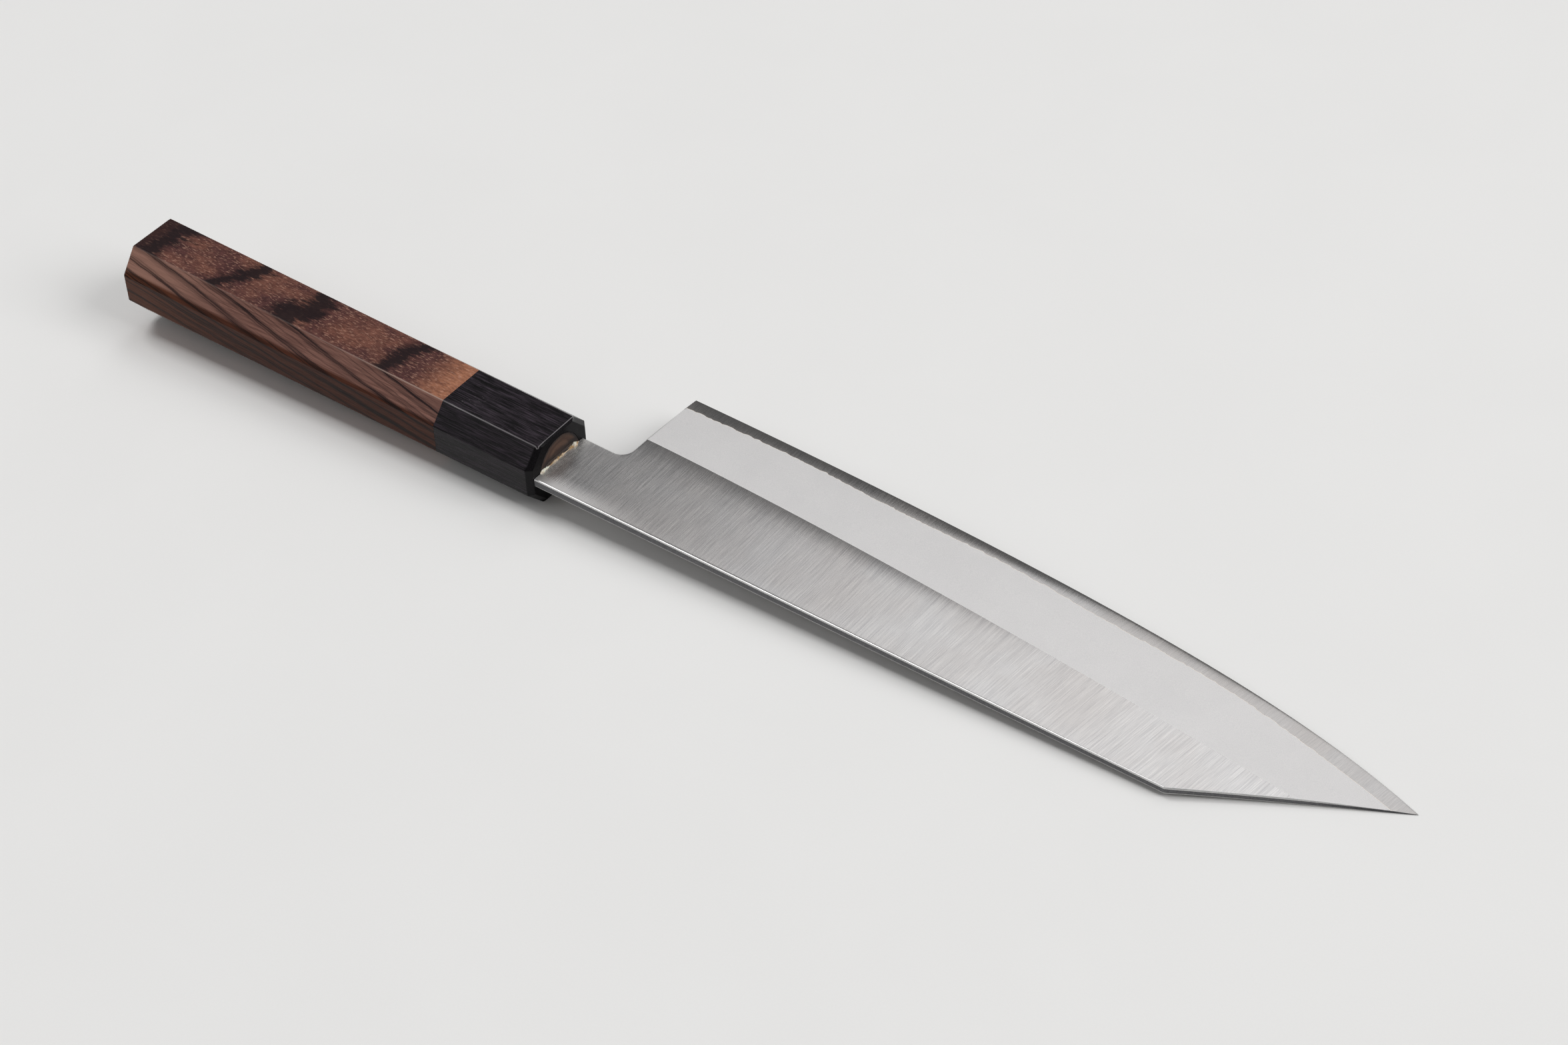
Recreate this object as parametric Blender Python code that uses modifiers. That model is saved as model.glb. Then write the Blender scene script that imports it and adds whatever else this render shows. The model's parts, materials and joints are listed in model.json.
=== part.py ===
"""Bunka kitchen knife, lying on its right face.

A blade of three layers of steel has a hidden tang, which is glued into a slotted dowel. The dowel
joins a black octagonal ferrule to an octagonal wooden grip.

Every piece is modelled in the knife's own axes: X runs from the ferrule's front face to the tip,
Y from the spine to the cutting edge, and Z out of the left face. An empty then lays the whole
knife down, so that it rests on the ferrule and the tip.
"""

import math

import bmesh
import bpy
from mathutils import Matrix, Vector

MM = 0.001

# Blade outline
EDGE_LENGTH = 210 * MM
SPINE_LENGTH = 175.5 * MM
SPINE_HEIGHT_AT_FERRULE = 9.8 * MM
SPINE_HEIGHT_AT_CORNER = 9 * MM
NECK_LENGTH = 13 * MM
NECK_BELOW_AXIS = 8.8 * MM
CHOIL_RADIUS = 3.5 * MM
HEEL_FORWARD = 0.7 * MM
HEEL_BELOW_AXIS = 35.8 * MM
TIP_BELOW_AXIS = 16 * MM
CLIP_HOLLOW = 0.4 * MM

# Cutting edge and shinogi line, each a steady curve with a quicker rise towards the tip
EDGE_STEADY_RISE = 11 * MM
EDGE_TIP_POWER = 6
SHINOGI_BELOW_AXIS = 16.9 * MM
SHINOGI_RISE = 12.5 * MM
SHINOGI_LENGTH = 186.7 * MM
SHINOGI_POWER = 1.6

# Blade section
NECK_THICKNESS = 2.4 * MM
POINT_THICKNESS = 1.8 * MM
FLAT_TAPER = 0.003
SPINE_ROUND = 0.35 * MM
EASING = 0.35 * MM
GRIND_SHOULDER = 8 * MM
FINE_BEVEL_WIDTH = 0.3 * MM
FINE_BEVEL_THICKNESS = 0.1 * MM

# Layers of the blade
CORE_THICKNESS = 0.63 * MM
CORE_REVEAL_AT_HEEL = 3.5 * MM
CORE_REVEAL_AT_TIP = 4.4 * MM
REVEAL_WAVE = 0.3 * MM
REVEAL_WAVE_LENGTH = 62 * MM
WELD_LINE = 0.01 * MM

# Tang
TANG_LENGTH = 82 * MM
TANG_WIDTH_AT_NECK = 10.5 * MM
TANG_WIDTH_AT_END = 6 * MM

# Handle: octagonal, with broad facets beside the blade's faces and narrow ones above and below
HANDLE_LENGTH = 134 * MM
FERRULE_LENGTH = 30 * MM
FRONT_HEIGHT = 22.3 * MM
FRONT_THICKNESS = 17.7 * MM
BUTT_HEIGHT = 23.4 * MM
BUTT_THICKNESS = 20.9 * MM
BROAD_FACET = 13.4 * MM
NARROW_FACET = 7.9 * MM
FRONT_CHAMFER = 1.1 * MM
BUTT_CHAMFER = 0.6 * MM
FACET_EDGE_ROUND = 0.35 * MM

# Dowel and adhesive
DOWEL_DIAMETER = 14.4 * MM
DOWEL_LENGTH = 97 * MM
BEAD_WIDTH = 12.6 * MM
BEAD_THICKNESS = 4.6 * MM
BEAD_DEPTH = 2.5 * MM

# Clearances
SHOULDER_GAP = 0.1 * MM
GLUE_LINE = 0.05 * MM
DOWEL_CLEARANCE = 0.1 * MM
DOWEL_END_GAP = 1 * MM
TANG_CLEARANCE = 0.15 * MM
BEAD_CLEARANCE = 0.1 * MM

# Resolution, and how far cutters reach past what they cut
BLADE_STATION = 5 * MM
ROUND_SIDES = 64
CORNER_STEPS = 8
CLIP_STEPS = 12
SPINE_STEPS = 2
OVERCUT = 3 * MM
TOOL_MARGIN = 0.5 * MM
SHARP_ANGLE = math.radians(30)

# A chamfered octagon's corners slide this far along their facets for each unit of inset
CORNER_SHIFT = math.tan(math.radians(22.5))

CORE_HALF = CORE_THICKNESS / 2
HEEL_X = NECK_LENGTH + HEEL_FORWARD
TIP_X = HEEL_X + EDGE_LENGTH
FERRULE_BACK = -FERRULE_LENGTH
BUTT_X = -HANDLE_LENGTH


def blend(start, end, share):
    """Straight mix of two values."""
    return start + (end - start) * share


def spine_y(x):
    """Height line of the spine, which is straight."""
    return -blend(SPINE_HEIGHT_AT_FERRULE, SPINE_HEIGHT_AT_CORNER, x / SPINE_LENGTH)


def edge_share(x):
    """0 at the heel and 1 at the tip."""
    return max(0.0, (x - HEEL_X) / EDGE_LENGTH)


def edge_y(x):
    """The cutting edge: nearly flat at the heel, sweeping up to the tip."""
    share = edge_share(x)
    tip_rise = HEEL_BELOW_AXIS - TIP_BELOW_AXIS - EDGE_STEADY_RISE
    return HEEL_BELOW_AXIS - EDGE_STEADY_RISE * share**2 - tip_rise * share**EDGE_TIP_POWER


def shinogi_y(x):
    """The line where the flat of the blade turns into the wide bevel."""
    share = max(0.0, (x - HEEL_X) / SHINOGI_LENGTH)
    return SHINOGI_BELOW_AXIS - SHINOGI_RISE * share**SHINOGI_POWER


def flat_z(x, y):
    """Half thickness of the blade's flat, one plane that thins to the tip and to the edge."""
    at_spine = blend(NECK_THICKNESS, POINT_THICKNESS, max(0.0, x) / TIP_X) / 2
    return at_spine - FLAT_TAPER * (y - spine_y(x))


def core_reveal(x):
    """How much of the core shows above the edge. The line between the steels waves gently."""
    wave = math.cos(2 * math.pi * (x - HEEL_X) / REVEAL_WAVE_LENGTH)
    steady = blend(CORE_REVEAL_AT_HEEL, CORE_REVEAL_AT_TIP, edge_share(x) ** 3)
    return steady + REVEAL_WAVE * wave


def ground_profile(x):
    """The left side of the blade at x, as (y, z) corners from the spine to the edge."""
    spine, edge, shinogi = spine_y(x), edge_y(x), shinogi_y(x)
    fine_z = FINE_BEVEL_THICKNESS / 2
    rise = (CORE_HALF - fine_z) / (core_reveal(x) - FINE_BEVEL_WIDTH)
    return [
        (spine, flat_z(x, spine)),
        (shinogi, flat_z(x, shinogi)),
        (edge - GRIND_SHOULDER, fine_z + rise * (GRIND_SHOULDER - FINE_BEVEL_WIDTH)),
        (edge - FINE_BEVEL_WIDTH, fine_z),
        (edge, 0.0),
    ]


def ground_section(x):
    """The blade's whole section at x, with its spine rounded."""
    (spine, spine_z), *rest = ground_profile(x)
    left = []
    for step in range(SPINE_STEPS + 1):
        turn = math.pi / 2 * step / SPINE_STEPS
        y = spine + SPINE_ROUND * (1 - math.cos(turn))
        left.append((y, spine_z - SPINE_ROUND * (1 - math.sin(turn))))
    left += rest
    right = [(y, -z) for y, z in reversed(left[:-1])]
    return [Vector((x, y, z)) for y, z in left + right]


def half_thickness(place):
    """Half the ground blade's thickness at a place on its outline."""
    profile = ground_profile(place.x)
    for (y, z), (next_y, next_z) in zip(profile, profile[1:]):
        if place.y <= next_y:
            return blend(z, next_z, (place.y - y) / (next_y - y))
    return 0.0


def handle_section(x, inset=0.0):
    """The handle's octagon at x, with every facet moved in by inset."""
    share = x / BUTT_X
    half_height = blend(FRONT_HEIGHT, BUTT_HEIGHT, share) / 2 - inset
    half_thickness = blend(FRONT_THICKNESS, BUTT_THICKNESS, share) / 2 - inset
    broad = BROAD_FACET / 2 - inset * CORNER_SHIFT
    narrow = NARROW_FACET / 2 - inset * CORNER_SHIFT
    corners = [(broad, half_thickness), (half_height, narrow)]
    corners += [(y, -z) for y, z in reversed(corners)]
    corners += [(-y, z) for y, z in reversed(corners)]
    return [Vector((x, y, z)) for y, z in corners]


def arc(centre, radius, start, end):
    """Points along an arc in the blade's plane, from and to angles in degrees."""
    angles = [math.radians(blend(start, end, i / CORNER_STEPS)) for i in range(CORNER_STEPS + 1)]
    return [centre + radius * Vector((math.cos(a), math.sin(a))) for a in angles]


def tang_outline(front, clearance=0.0):
    """The tang, from the neck's lower side round its end and back, run on straight to front."""
    end_half = TANG_WIDTH_AT_END / 2 + clearance
    root_half = TANG_WIDTH_AT_NECK / 2 + clearance
    centre = Vector((TANG_WIDTH_AT_END / 2 - TANG_LENGTH, 0))
    return [
        Vector((front, -root_half)),
        Vector((0, -root_half)),
        *arc(centre, end_half, 270, 90),
        Vector((0, root_half)),
        Vector((front, root_half)),
    ]


def clip_line():
    """The cut from the spine's corner to the tip, hollowed a little, run past both ends."""
    corner = Vector((SPINE_LENGTH, spine_y(SPINE_LENGTH)))
    tip = Vector((TIP_X, TIP_BELOW_AXIS))
    along = (tip - corner).normalized()
    inward = Vector((-along.y, along.x))
    points = [corner - along * 3 * OVERCUT]
    for step in range(CLIP_STEPS + 1):
        share = step / CLIP_STEPS
        points.append(corner.lerp(tip, share) + inward * CLIP_HOLLOW * 4 * share * (1 - share))
    points.append(tip + along * OVERCUT)
    return points


def choil_line():
    """The neck's lower side, the choil and the back of the heel, run on past the edge."""
    centre = Vector((NECK_LENGTH - CHOIL_RADIUS, NECK_BELOW_AXIS + CHOIL_RADIUS))
    curve = arc(centre, CHOIL_RADIUS, 270, 360)
    back = Vector((HEEL_X, HEEL_BELOW_AXIS)) - curve[-1]
    heights = [SHINOGI_BELOW_AXIS, HEEL_BELOW_AXIS - GRIND_SHOULDER, HEEL_BELOW_AXIS + OVERCUT]
    heel = [curve[-1] + back * (height - curve[-1].y) / back.y for height in heights]
    return [Vector((SHOULDER_GAP, NECK_BELOW_AXIS)), *curve, *heel]


def blank_outline():
    """The blade's flat blank. The grind takes it in to the spine and the edge."""
    choil = choil_line()
    clip = clip_line()
    return [
        *tang_outline(SHOULDER_GAP),
        *choil,
        Vector((clip[-1].x, choil[-1].y)),
        *reversed(clip),
        Vector((SHOULDER_GAP, clip[0].y)),
    ]


def stadium_outline(width, thickness):
    """A slot shape with round ends."""
    radius = thickness / 2
    offset = Vector((width / 2 - radius, 0))
    return [*arc(offset, radius, -90, 90), *arc(-offset, radius, 90, 270)]


def link(name, mesh, collection):
    """A new object of a collection."""
    obj = bpy.data.objects.new(name, mesh)
    collection.objects.link(obj)
    return obj


def mesh_of(name, bm):
    """A mesh from a bmesh, with its normals facing out."""
    bmesh.ops.recalc_face_normals(bm, faces=bm.faces)
    mesh = bpy.data.meshes.new(name)
    bm.to_mesh(mesh)
    bm.free()
    return mesh


def loft(name, sections, collection):
    """A closed solid through sections of equal point counts. Its long edges may take a bevel."""
    bm = bmesh.new()
    weight = bm.edges.layers.float.new("bevel_weight_edge")
    rings = [[bm.verts.new(point) for point in section] for section in sections]
    bm.faces.new(rings[0])
    bm.faces.new(rings[-1])
    for ring, following in zip(rings, rings[1:]):
        for i, vert in enumerate(ring):
            bm.faces.new((ring[i - 1], vert, following[i], following[i - 1]))
            bm.edges.get((vert, following[i]))[weight] = 1.0
    return link(name, mesh_of(name, bm), collection)


def plate(name, outline, low, high, collection, turn=None):
    """A flat outline given a thickness from low to high, and then turned."""
    curve = bpy.data.curves.new(name, "CURVE")
    curve.dimensions = "2D"
    curve.fill_mode = "BOTH"
    curve.extrude = (high - low) / 2
    spline = curve.splines.new("POLY")
    spline.points.add(len(outline) - 1)
    for point, place in zip(spline.points, outline):
        point.co = (place.x, place.y, 0, 1)
    spline.use_cyclic_u = True
    flat = link(name + "_outline", curve, collection)
    evaluated = flat.evaluated_get(bpy.context.evaluated_depsgraph_get())
    mesh = bpy.data.meshes.new_from_object(evaluated)
    bpy.data.objects.remove(flat)
    bpy.data.curves.remove(curve)
    bm = bmesh.new()
    bm.from_mesh(mesh)
    bpy.data.meshes.remove(mesh)
    bmesh.ops.remove_doubles(bm, verts=bm.verts, dist=WELD_LINE / 10)
    bmesh.ops.translate(bm, verts=bm.verts, vec=(0, 0, (low + high) / 2))
    if turn:
        bmesh.ops.transform(bm, matrix=turn, verts=bm.verts)
    return link(name, mesh_of(name, bm), collection)


def rod(name, radius, back, front, collection):
    """A cylinder along X."""
    bm = bmesh.new()
    bmesh.ops.create_cone(
        bm,
        cap_ends=True,
        segments=ROUND_SIDES,
        radius1=radius,
        radius2=radius,
        depth=front - back,
        matrix=Matrix.Translation(((back + front) / 2, 0, 0)) @ Matrix.Rotation(math.pi / 2, 4, "Y"),
    )
    return link(name, mesh_of(name, bm), collection)


def easing_tool(name, path, side, collection):
    """A wedge that takes a corner off along an outline, and fades out where the blade is thin."""
    sections = []
    for i, place in enumerate(path):
        along = (path[min(i + 1, len(path) - 1)] - path[max(i - 1, 0)]).normalized()
        outward = Vector((along.y, -along.x))
        surface = half_thickness(place)
        deep = min(EASING, surface - CORE_THICKNESS) + TOOL_MARGIN
        corners = [(TOOL_MARGIN, -deep), (-deep, TOOL_MARGIN), (TOOL_MARGIN, TOOL_MARGIN)]
        flat = [(place + outward * out, side * (surface + up)) for out, up in corners]
        sections.append([Vector((*xy, z)) for xy, z in flat])
    return loft(name, sections, collection)


def cut(piece, cutter, operation="DIFFERENCE"):
    """A Boolean, which finish makes final."""
    modifier = piece.modifiers.new(f"{operation.lower()} {cutter.name}", "BOOLEAN")
    modifier.operation = operation
    modifier.solver = "EXACT"
    modifier.object = cutter


def round_long_edges(piece):
    """A small bevel along the facets' edges, as sanding leaves."""
    modifier = piece.modifiers.new("facet edges", "BEVEL")
    modifier.limit_method = "WEIGHT"
    modifier.width = FACET_EDGE_ROUND
    modifier.segments = 2


def finish(piece, colour, roughness, metallic=0.0):
    """Make the piece's cuts final, give it its own material, and shade it smooth between its edges."""
    evaluated = piece.evaluated_get(bpy.context.evaluated_depsgraph_get())
    piece.data = bpy.data.meshes.new_from_object(evaluated)
    piece.modifiers.clear()
    material = bpy.data.materials.new(piece.name)
    material.use_nodes = True
    shader = material.node_tree.nodes["Principled BSDF"]
    shader.inputs["Base Color"].default_value = (*colour, 1)
    shader.inputs["Roughness"].default_value = roughness
    shader.inputs["Metallic"].default_value = metallic
    piece.data.materials.append(material)
    piece.data.shade_smooth()
    piece.data.set_sharp_from_angle(angle=SHARP_ANGLE)
    shading = piece.modifiers.new("flat facets", "WEIGHTED_NORMAL")
    shading.keep_sharp = True


def blade_stations():
    """Where the blade's section is drawn, from behind the tang to past the tip."""
    last = TIP_X + 2 * OVERCUT
    steps = math.ceil((last - HEEL_X) / BLADE_STATION)
    along = [blend(HEEL_X, last, step / steps) for step in range(steps + 1)]
    return [-TANG_LENGTH - OVERCUT, 0.0, *along]


def build_blade(parts, cutters):
    """Three layers, each the blank at its own depth, all ground to one section."""
    ground = loft("ground_shape", [ground_section(x) for x in blade_stations()], cutters)
    surface = NECK_THICKNESS / 2 + OVERCUT
    outline = blank_outline()
    inner = CORE_HALF + WELD_LINE
    layers = [
        plate("core_steel", outline, -CORE_HALF, CORE_HALF, parts),
        plate("left_cladding", outline, inner, surface, parts),
        plate("right_cladding", outline, -surface, -inner, parts),
    ]
    for layer in layers:
        cut(layer, ground, "INTERSECT")
    neck_to_heel = [Vector((-OVERCUT, NECK_BELOW_AXIS)), *choil_line()]
    eased = {"choil": neck_to_heel[::-1], "clip": clip_line()}
    for layer, side in ((layers[1], 1), (layers[2], -1)):
        for place, path in eased.items():
            cut(layer, easing_tool(f"{place}_easing_{layer.name}", path, side, cutters))
    finish(layers[0], (0.42, 0.42, 0.43), 0.3, 1.0)
    finish(layers[1], (0.5, 0.49, 0.49), 0.42, 1.0)
    finish(layers[2], (0.5, 0.49, 0.49), 0.42, 1.0)
    return layers


def build_handle(parts, cutters):
    """Ferrule and grip, flush with each other, on one dowel that is slotted for the tang."""
    ferrule_ends = [(FERRULE_BACK, 0.0), (-FRONT_CHAMFER, 0.0), (0.0, FRONT_CHAMFER)]
    ferrule = loft("ferrule", [handle_section(x, inset) for x, inset in ferrule_ends], parts)

    grip_ends = [(BUTT_X, BUTT_CHAMFER), (BUTT_X + BUTT_CHAMFER, 0.0), (FERRULE_BACK - GLUE_LINE, 0.0)]
    handle_body = loft("handle_body", [handle_section(x, inset) for x, inset in grip_ends], parts)

    bore_radius = DOWEL_DIAMETER / 2 + DOWEL_CLEARANCE
    bore = rod("dowel_bore", bore_radius, -DOWEL_LENGTH - DOWEL_END_GAP, OVERCUT, cutters)
    for piece in (ferrule, handle_body):
        round_long_edges(piece)
        cut(piece, bore)

    dowel = rod("dowel", DOWEL_DIAMETER / 2, -DOWEL_LENGTH, 0.0, parts)
    slot_half = NECK_THICKNESS / 2 + TANG_CLEARANCE
    slot_outline = tang_outline(OVERCUT, TANG_CLEARANCE)
    slot = plate("tang_slot", slot_outline, -slot_half, slot_half, cutters)

    across = Matrix(((0, 0, 1, 0), (1, 0, 0, 0), (0, 1, 0, 0), (0, 0, 0, 1)))
    pocket_outline = stadium_outline(
        BEAD_WIDTH + 2 * BEAD_CLEARANCE, BEAD_THICKNESS + 2 * BEAD_CLEARANCE
    )
    pocket_floor = -BEAD_DEPTH - BEAD_CLEARANCE
    pocket = plate("bead_pocket", pocket_outline, pocket_floor, OVERCUT, cutters, across)
    bead_outline = stadium_outline(BEAD_WIDTH, BEAD_THICKNESS)
    bead = plate("tang_adhesive", bead_outline, -BEAD_DEPTH, 0.0, parts, across)
    cut(dowel, slot)
    cut(dowel, pocket)
    cut(bead, slot)

    finish(ferrule, (0.012, 0.011, 0.012), 0.35)
    finish(handle_body, (0.2, 0.07, 0.035), 0.42)
    finish(dowel, (0.13, 0.055, 0.03), 0.6)
    finish(bead, (0.65, 0.5, 0.26), 0.5)


def placed_points(pieces):
    """Every corner of the evaluated pieces, where their parent puts them."""
    bpy.context.view_layer.update()
    graph = bpy.context.evaluated_depsgraph_get()
    points = []
    for piece in pieces:
        evaluated = piece.evaluated_get(graph)
        mesh = evaluated.to_mesh()
        points += [evaluated.matrix_world @ vert.co for vert in mesh.vertices]
        evaluated.to_mesh_clear()
    return points


def lay_down(pieces, blade, cutters):
    """Tip the knife about the ferrule's lower front edge until the blade meets the table."""
    rest = bpy.data.objects.new("rest_pose", None)
    cutters.objects.link(rest)
    for piece in pieces:
        piece.parent = rest
    ferrule_depth = handle_section(-FRONT_CHAMFER)[0].z
    rest.rotation_euler.y = min(
        math.atan2(point.z + ferrule_depth, point.x + FRONT_CHAMFER)
        for point in placed_points(blade)
        if point.x > NECK_LENGTH
    )
    points = placed_points([piece for piece in pieces if not piece.hide_render])
    low = Vector([min(point[axis] for point in points) for axis in range(3)])
    high = Vector([max(point[axis] for point in points) for axis in range(3)])
    rest.location = (-(low.x + high.x) / 2, -(low.y + high.y) / 2, -low.z)


def clear_scene():
    """Start from nothing."""
    for obj in list(bpy.data.objects):
        bpy.data.objects.remove(obj)


def main():
    """Build the knife and lay it down."""
    clear_scene()
    scene = bpy.context.scene
    parts = bpy.data.collections.new("bunka_knife")
    cutters = bpy.data.collections.new("bunka_knife_cutters")
    scene.collection.children.link(parts)
    scene.collection.children.link(cutters)
    blade = build_blade(parts, cutters)
    build_handle(parts, cutters)
    for cutter in cutters.objects:
        cutter.hide_render = True
        cutter.display_type = "WIRE"
    lay_down([*parts.objects, *cutters.objects], blade, cutters)


main()
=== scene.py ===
"""Looks of a bunka knife that lies on its right face: blade, handle, glue and studio.

Every sub-assembly is drawn in millimetres in the knife's own axes, where X runs from the ferrule's
front face to the tip, Y from the spine to the cutting edge and Z out of the left face. Knife axes
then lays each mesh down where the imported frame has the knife.
"""

import json
import logging
import math
from collections.abc import Callable, Iterable, Sequence
from dataclasses import dataclass
from enum import Enum, IntEnum

import bmesh
import bpy
from mathutils import Matrix, Quaternion, Vector, noise


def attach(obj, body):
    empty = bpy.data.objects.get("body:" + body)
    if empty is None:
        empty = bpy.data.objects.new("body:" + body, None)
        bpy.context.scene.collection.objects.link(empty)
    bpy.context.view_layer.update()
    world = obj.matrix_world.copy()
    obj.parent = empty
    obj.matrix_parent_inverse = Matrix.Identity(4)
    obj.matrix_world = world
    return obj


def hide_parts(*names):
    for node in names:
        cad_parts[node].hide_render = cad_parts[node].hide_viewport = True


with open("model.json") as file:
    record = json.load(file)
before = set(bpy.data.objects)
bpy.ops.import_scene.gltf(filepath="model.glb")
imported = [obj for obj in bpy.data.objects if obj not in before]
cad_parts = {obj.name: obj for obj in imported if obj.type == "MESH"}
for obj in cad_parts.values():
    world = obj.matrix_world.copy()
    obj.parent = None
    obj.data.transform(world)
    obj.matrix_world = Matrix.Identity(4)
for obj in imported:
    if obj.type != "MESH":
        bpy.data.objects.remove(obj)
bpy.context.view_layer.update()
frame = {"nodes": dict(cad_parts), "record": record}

LOG = logging.getLogger("bunka_knife")
MM = 0.001
MERGE = 1e-3
CREASE = math.radians(30)
BODY = "root"
BRUSHING_MAP = "brushing"
WELD_MAP = "weld"
TOP_FACET_HALF = 6.78
ROW_SLANT = 0.37
OUTLINE = (
    "neck_rims",
    "heel_rims",
    "bevel_heel_rims",
    "neck_spine_rims",
    "spine_rims",
    "clip_flat_rims",
    "clip_bevel_rims",
)

BMesh = bmesh.types.BMesh
Material = bpy.types.Material
NodeTree = bpy.types.NodeTree
Colour = tuple[float, float, float]
Span = tuple[float, float]
Rows = list[list[Vector]]
Height = float | Callable[[Vector], float]
PerFacet = float | Sequence[float]


class Side(Enum):
    """A face of the blade, by the sign of its height."""

    LEFT = 1
    RIGHT = -1


class Facet(Enum):
    """The handle's eight facets in order round it, each with its normal's signs in Y and Z."""

    TOP = (0, 1)
    TOP_SPINE = (-1, 1)
    SPINE = (-1, 0)
    BOTTOM_SPINE = (-1, -1)
    BOTTOM = (0, -1)
    BOTTOM_EDGE = (1, -1)
    EDGE = (1, 0)
    TOP_EDGE = (1, 1)


class Coat(IntEnum):
    """The places of a cladding's finishes in its list of materials."""

    FLAT = 0
    BEVEL = 1
    RIM = 2
    WALL = 3


def blend(start: float, end: float, share: float) -> float:
    """Straight mix of two values."""
    return start + (end - start) * share


def eased(share: float) -> float:
    """A share from 0 to 1 that starts and stops softly."""
    held = min(1.0, max(0.0, share))
    return held * held * (3 - 2 * held)


def spread(start: float, end: float, steps: int) -> list[float]:
    """Even values from a start to an end, both among them."""
    return [blend(start, end, i / steps) for i in range(steps + 1)]


def turned_ways(start: float, end: float, steps: int) -> list[Vector]:
    """Ways in a plane at even turns from one angle to another, in degrees."""
    turns = map(math.radians, spread(start, end, steps))
    return [Vector((math.cos(turn), math.sin(turn))) for turn in turns]


def ragged(place: float, length: float, row: float) -> float:
    """Seeded noise from about -1 to 1 along a numbered line, with so much between its bumps."""
    return noise.noise(Vector((place / length, row, row * ROW_SLANT)))


@dataclass(frozen=True)
class KnifeAxes:
    """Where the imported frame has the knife, read from the record's mounts."""

    handle_length: float = 134.0

    @property
    def rest(self) -> Matrix:
        """Find the knife's rest.

        Returns:
            Knife axes to the frame, both in metres.
        """
        mounts = {mount["name"]: mount for mount in frame["record"]["mounts"]}
        butt = mounts["butt_face"]
        along = -Vector(butt["axis"]).normalized()
        across = Vector((0.0, 1.0, 0.0))
        up = along.cross(across)
        origin = Vector(butt["pos_m"]) + along * self.handle_length * MM
        turned = Matrix((along, across, up)).transposed().to_4x4()
        return Matrix.Translation(origin) @ turned

    def lay_down(self, bm: BMesh) -> None:
        """Take a bmesh from millimetres in the knife's axes to metres in the frame."""
        bmesh.ops.transform(bm, matrix=self.rest @ Matrix.Scale(MM, 4), verts=bm.verts)


AXES = KnifeAxes()


# Mesh work


def lifted(places: Iterable[Vector], height: Height) -> list[Vector]:
    """Raise places in the blade's plane to one height, or each to its own."""
    find = height if callable(height) else lambda place: height
    return [Vector((place.x, place.y, find(place))) for place in places]


def sheet(bm: BMesh, rows: Rows, material: int = 0) -> None:
    """Lay a grid over rows of points.

    Args:
        bm: The bmesh that gets the grid.
        rows: Equally long rows of points.
        material: Material index of the faces.
    """
    columns, lines = len(rows[0]) - 1, len(rows) - 1
    made = bmesh.ops.create_grid(bm, x_segments=columns, y_segments=lines, size=0.5)
    for vert in made["verts"]:
        column = round((vert.co.x + 0.5) * columns)
        line = round((vert.co.y + 0.5) * lines)
        vert.co = rows[line][column]
    for face in {face for vert in made["verts"] for face in vert.link_faces}:
        face.material_index = material


def patch(bm: BMesh, sides: Sequence[Sequence[Vector]], height: Height, material: int) -> None:
    """Stretch a grid between four lines in the blade's plane, and lift it to the ground surface.

    Args:
        bm: The bmesh that gets the grid.
        sides: Spine side, edge side, handle side and tip side. The first two run to the tip and
            the last two to the edge.
        height: Height of the surface at a place.
        material: Material index of the faces.
    """
    upper, lower, back, front = sides
    rows = []
    for j, (start, end) in enumerate(zip(back, front)):
        down = j / (len(back) - 1)
        row = []
        for i, (top, bottom) in enumerate(zip(upper, lower)):
            along = i / (len(upper) - 1)
            corners = upper[0].lerp(upper[-1], along).lerp(lower[0].lerp(lower[-1], along), down)
            row.append(top.lerp(bottom, down) + start.lerp(end, along) - corners)
        rows.append(lifted(row, height))
    sheet(bm, rows, material)


def ring_edges(bm: BMesh, ring: list[bmesh.types.BMVert]) -> list[bmesh.types.BMEdge]:
    """The edges round a closed ring of vertices."""
    return [bm.edges.get(pair) for pair in zip(ring, ring[1:] + ring[:1])]


def drawn_ring(bm: BMesh, ring: list[bmesh.types.BMVert], places: Sequence[Vector]) -> list:
    """Extrude a closed ring of vertices to new places.

    Args:
        bm: The bmesh.
        ring: The ring's vertices in order.
        places: Where each one's copy goes.

    Returns:
        The new ring in the same order.
    """
    made = bmesh.ops.extrude_edge_only(bm, edges=ring_edges(bm, ring))["geom"]
    fresh = {item for item in made if isinstance(item, bmesh.types.BMVert)}
    following = []
    for vert, place in zip(ring, places):
        others = (edge.other_vert(vert) for edge in vert.link_edges)
        partner = next(other for other in others if other in fresh)
        partner.co = place
        following.append(partner)
    return following


def loft(bm: BMesh, rings: Rows, caps: bool = True) -> None:
    """Draw a closed ring out through others of the same point count.

    Args:
        bm: The bmesh that gets the solid.
        rings: The rings in order.
        caps: Whether both ends are filled. Otherwise the last ring meets the first.
    """
    ring = list(bmesh.ops.create_circle(bm, segments=len(rings[0]), radius=1.0)["verts"])
    ring.sort(key=lambda vert: math.atan2(vert.co.y, vert.co.x))
    for vert, place in zip(ring, rings[0]):
        vert.co = place
    ends = [ring]
    for places in rings[1:]:
        ring = drawn_ring(bm, ring, places)
    ends.append(ring)
    if caps:
        for end in ends:
            bmesh.ops.contextual_create(bm, geom=ring_edges(bm, end))


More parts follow.
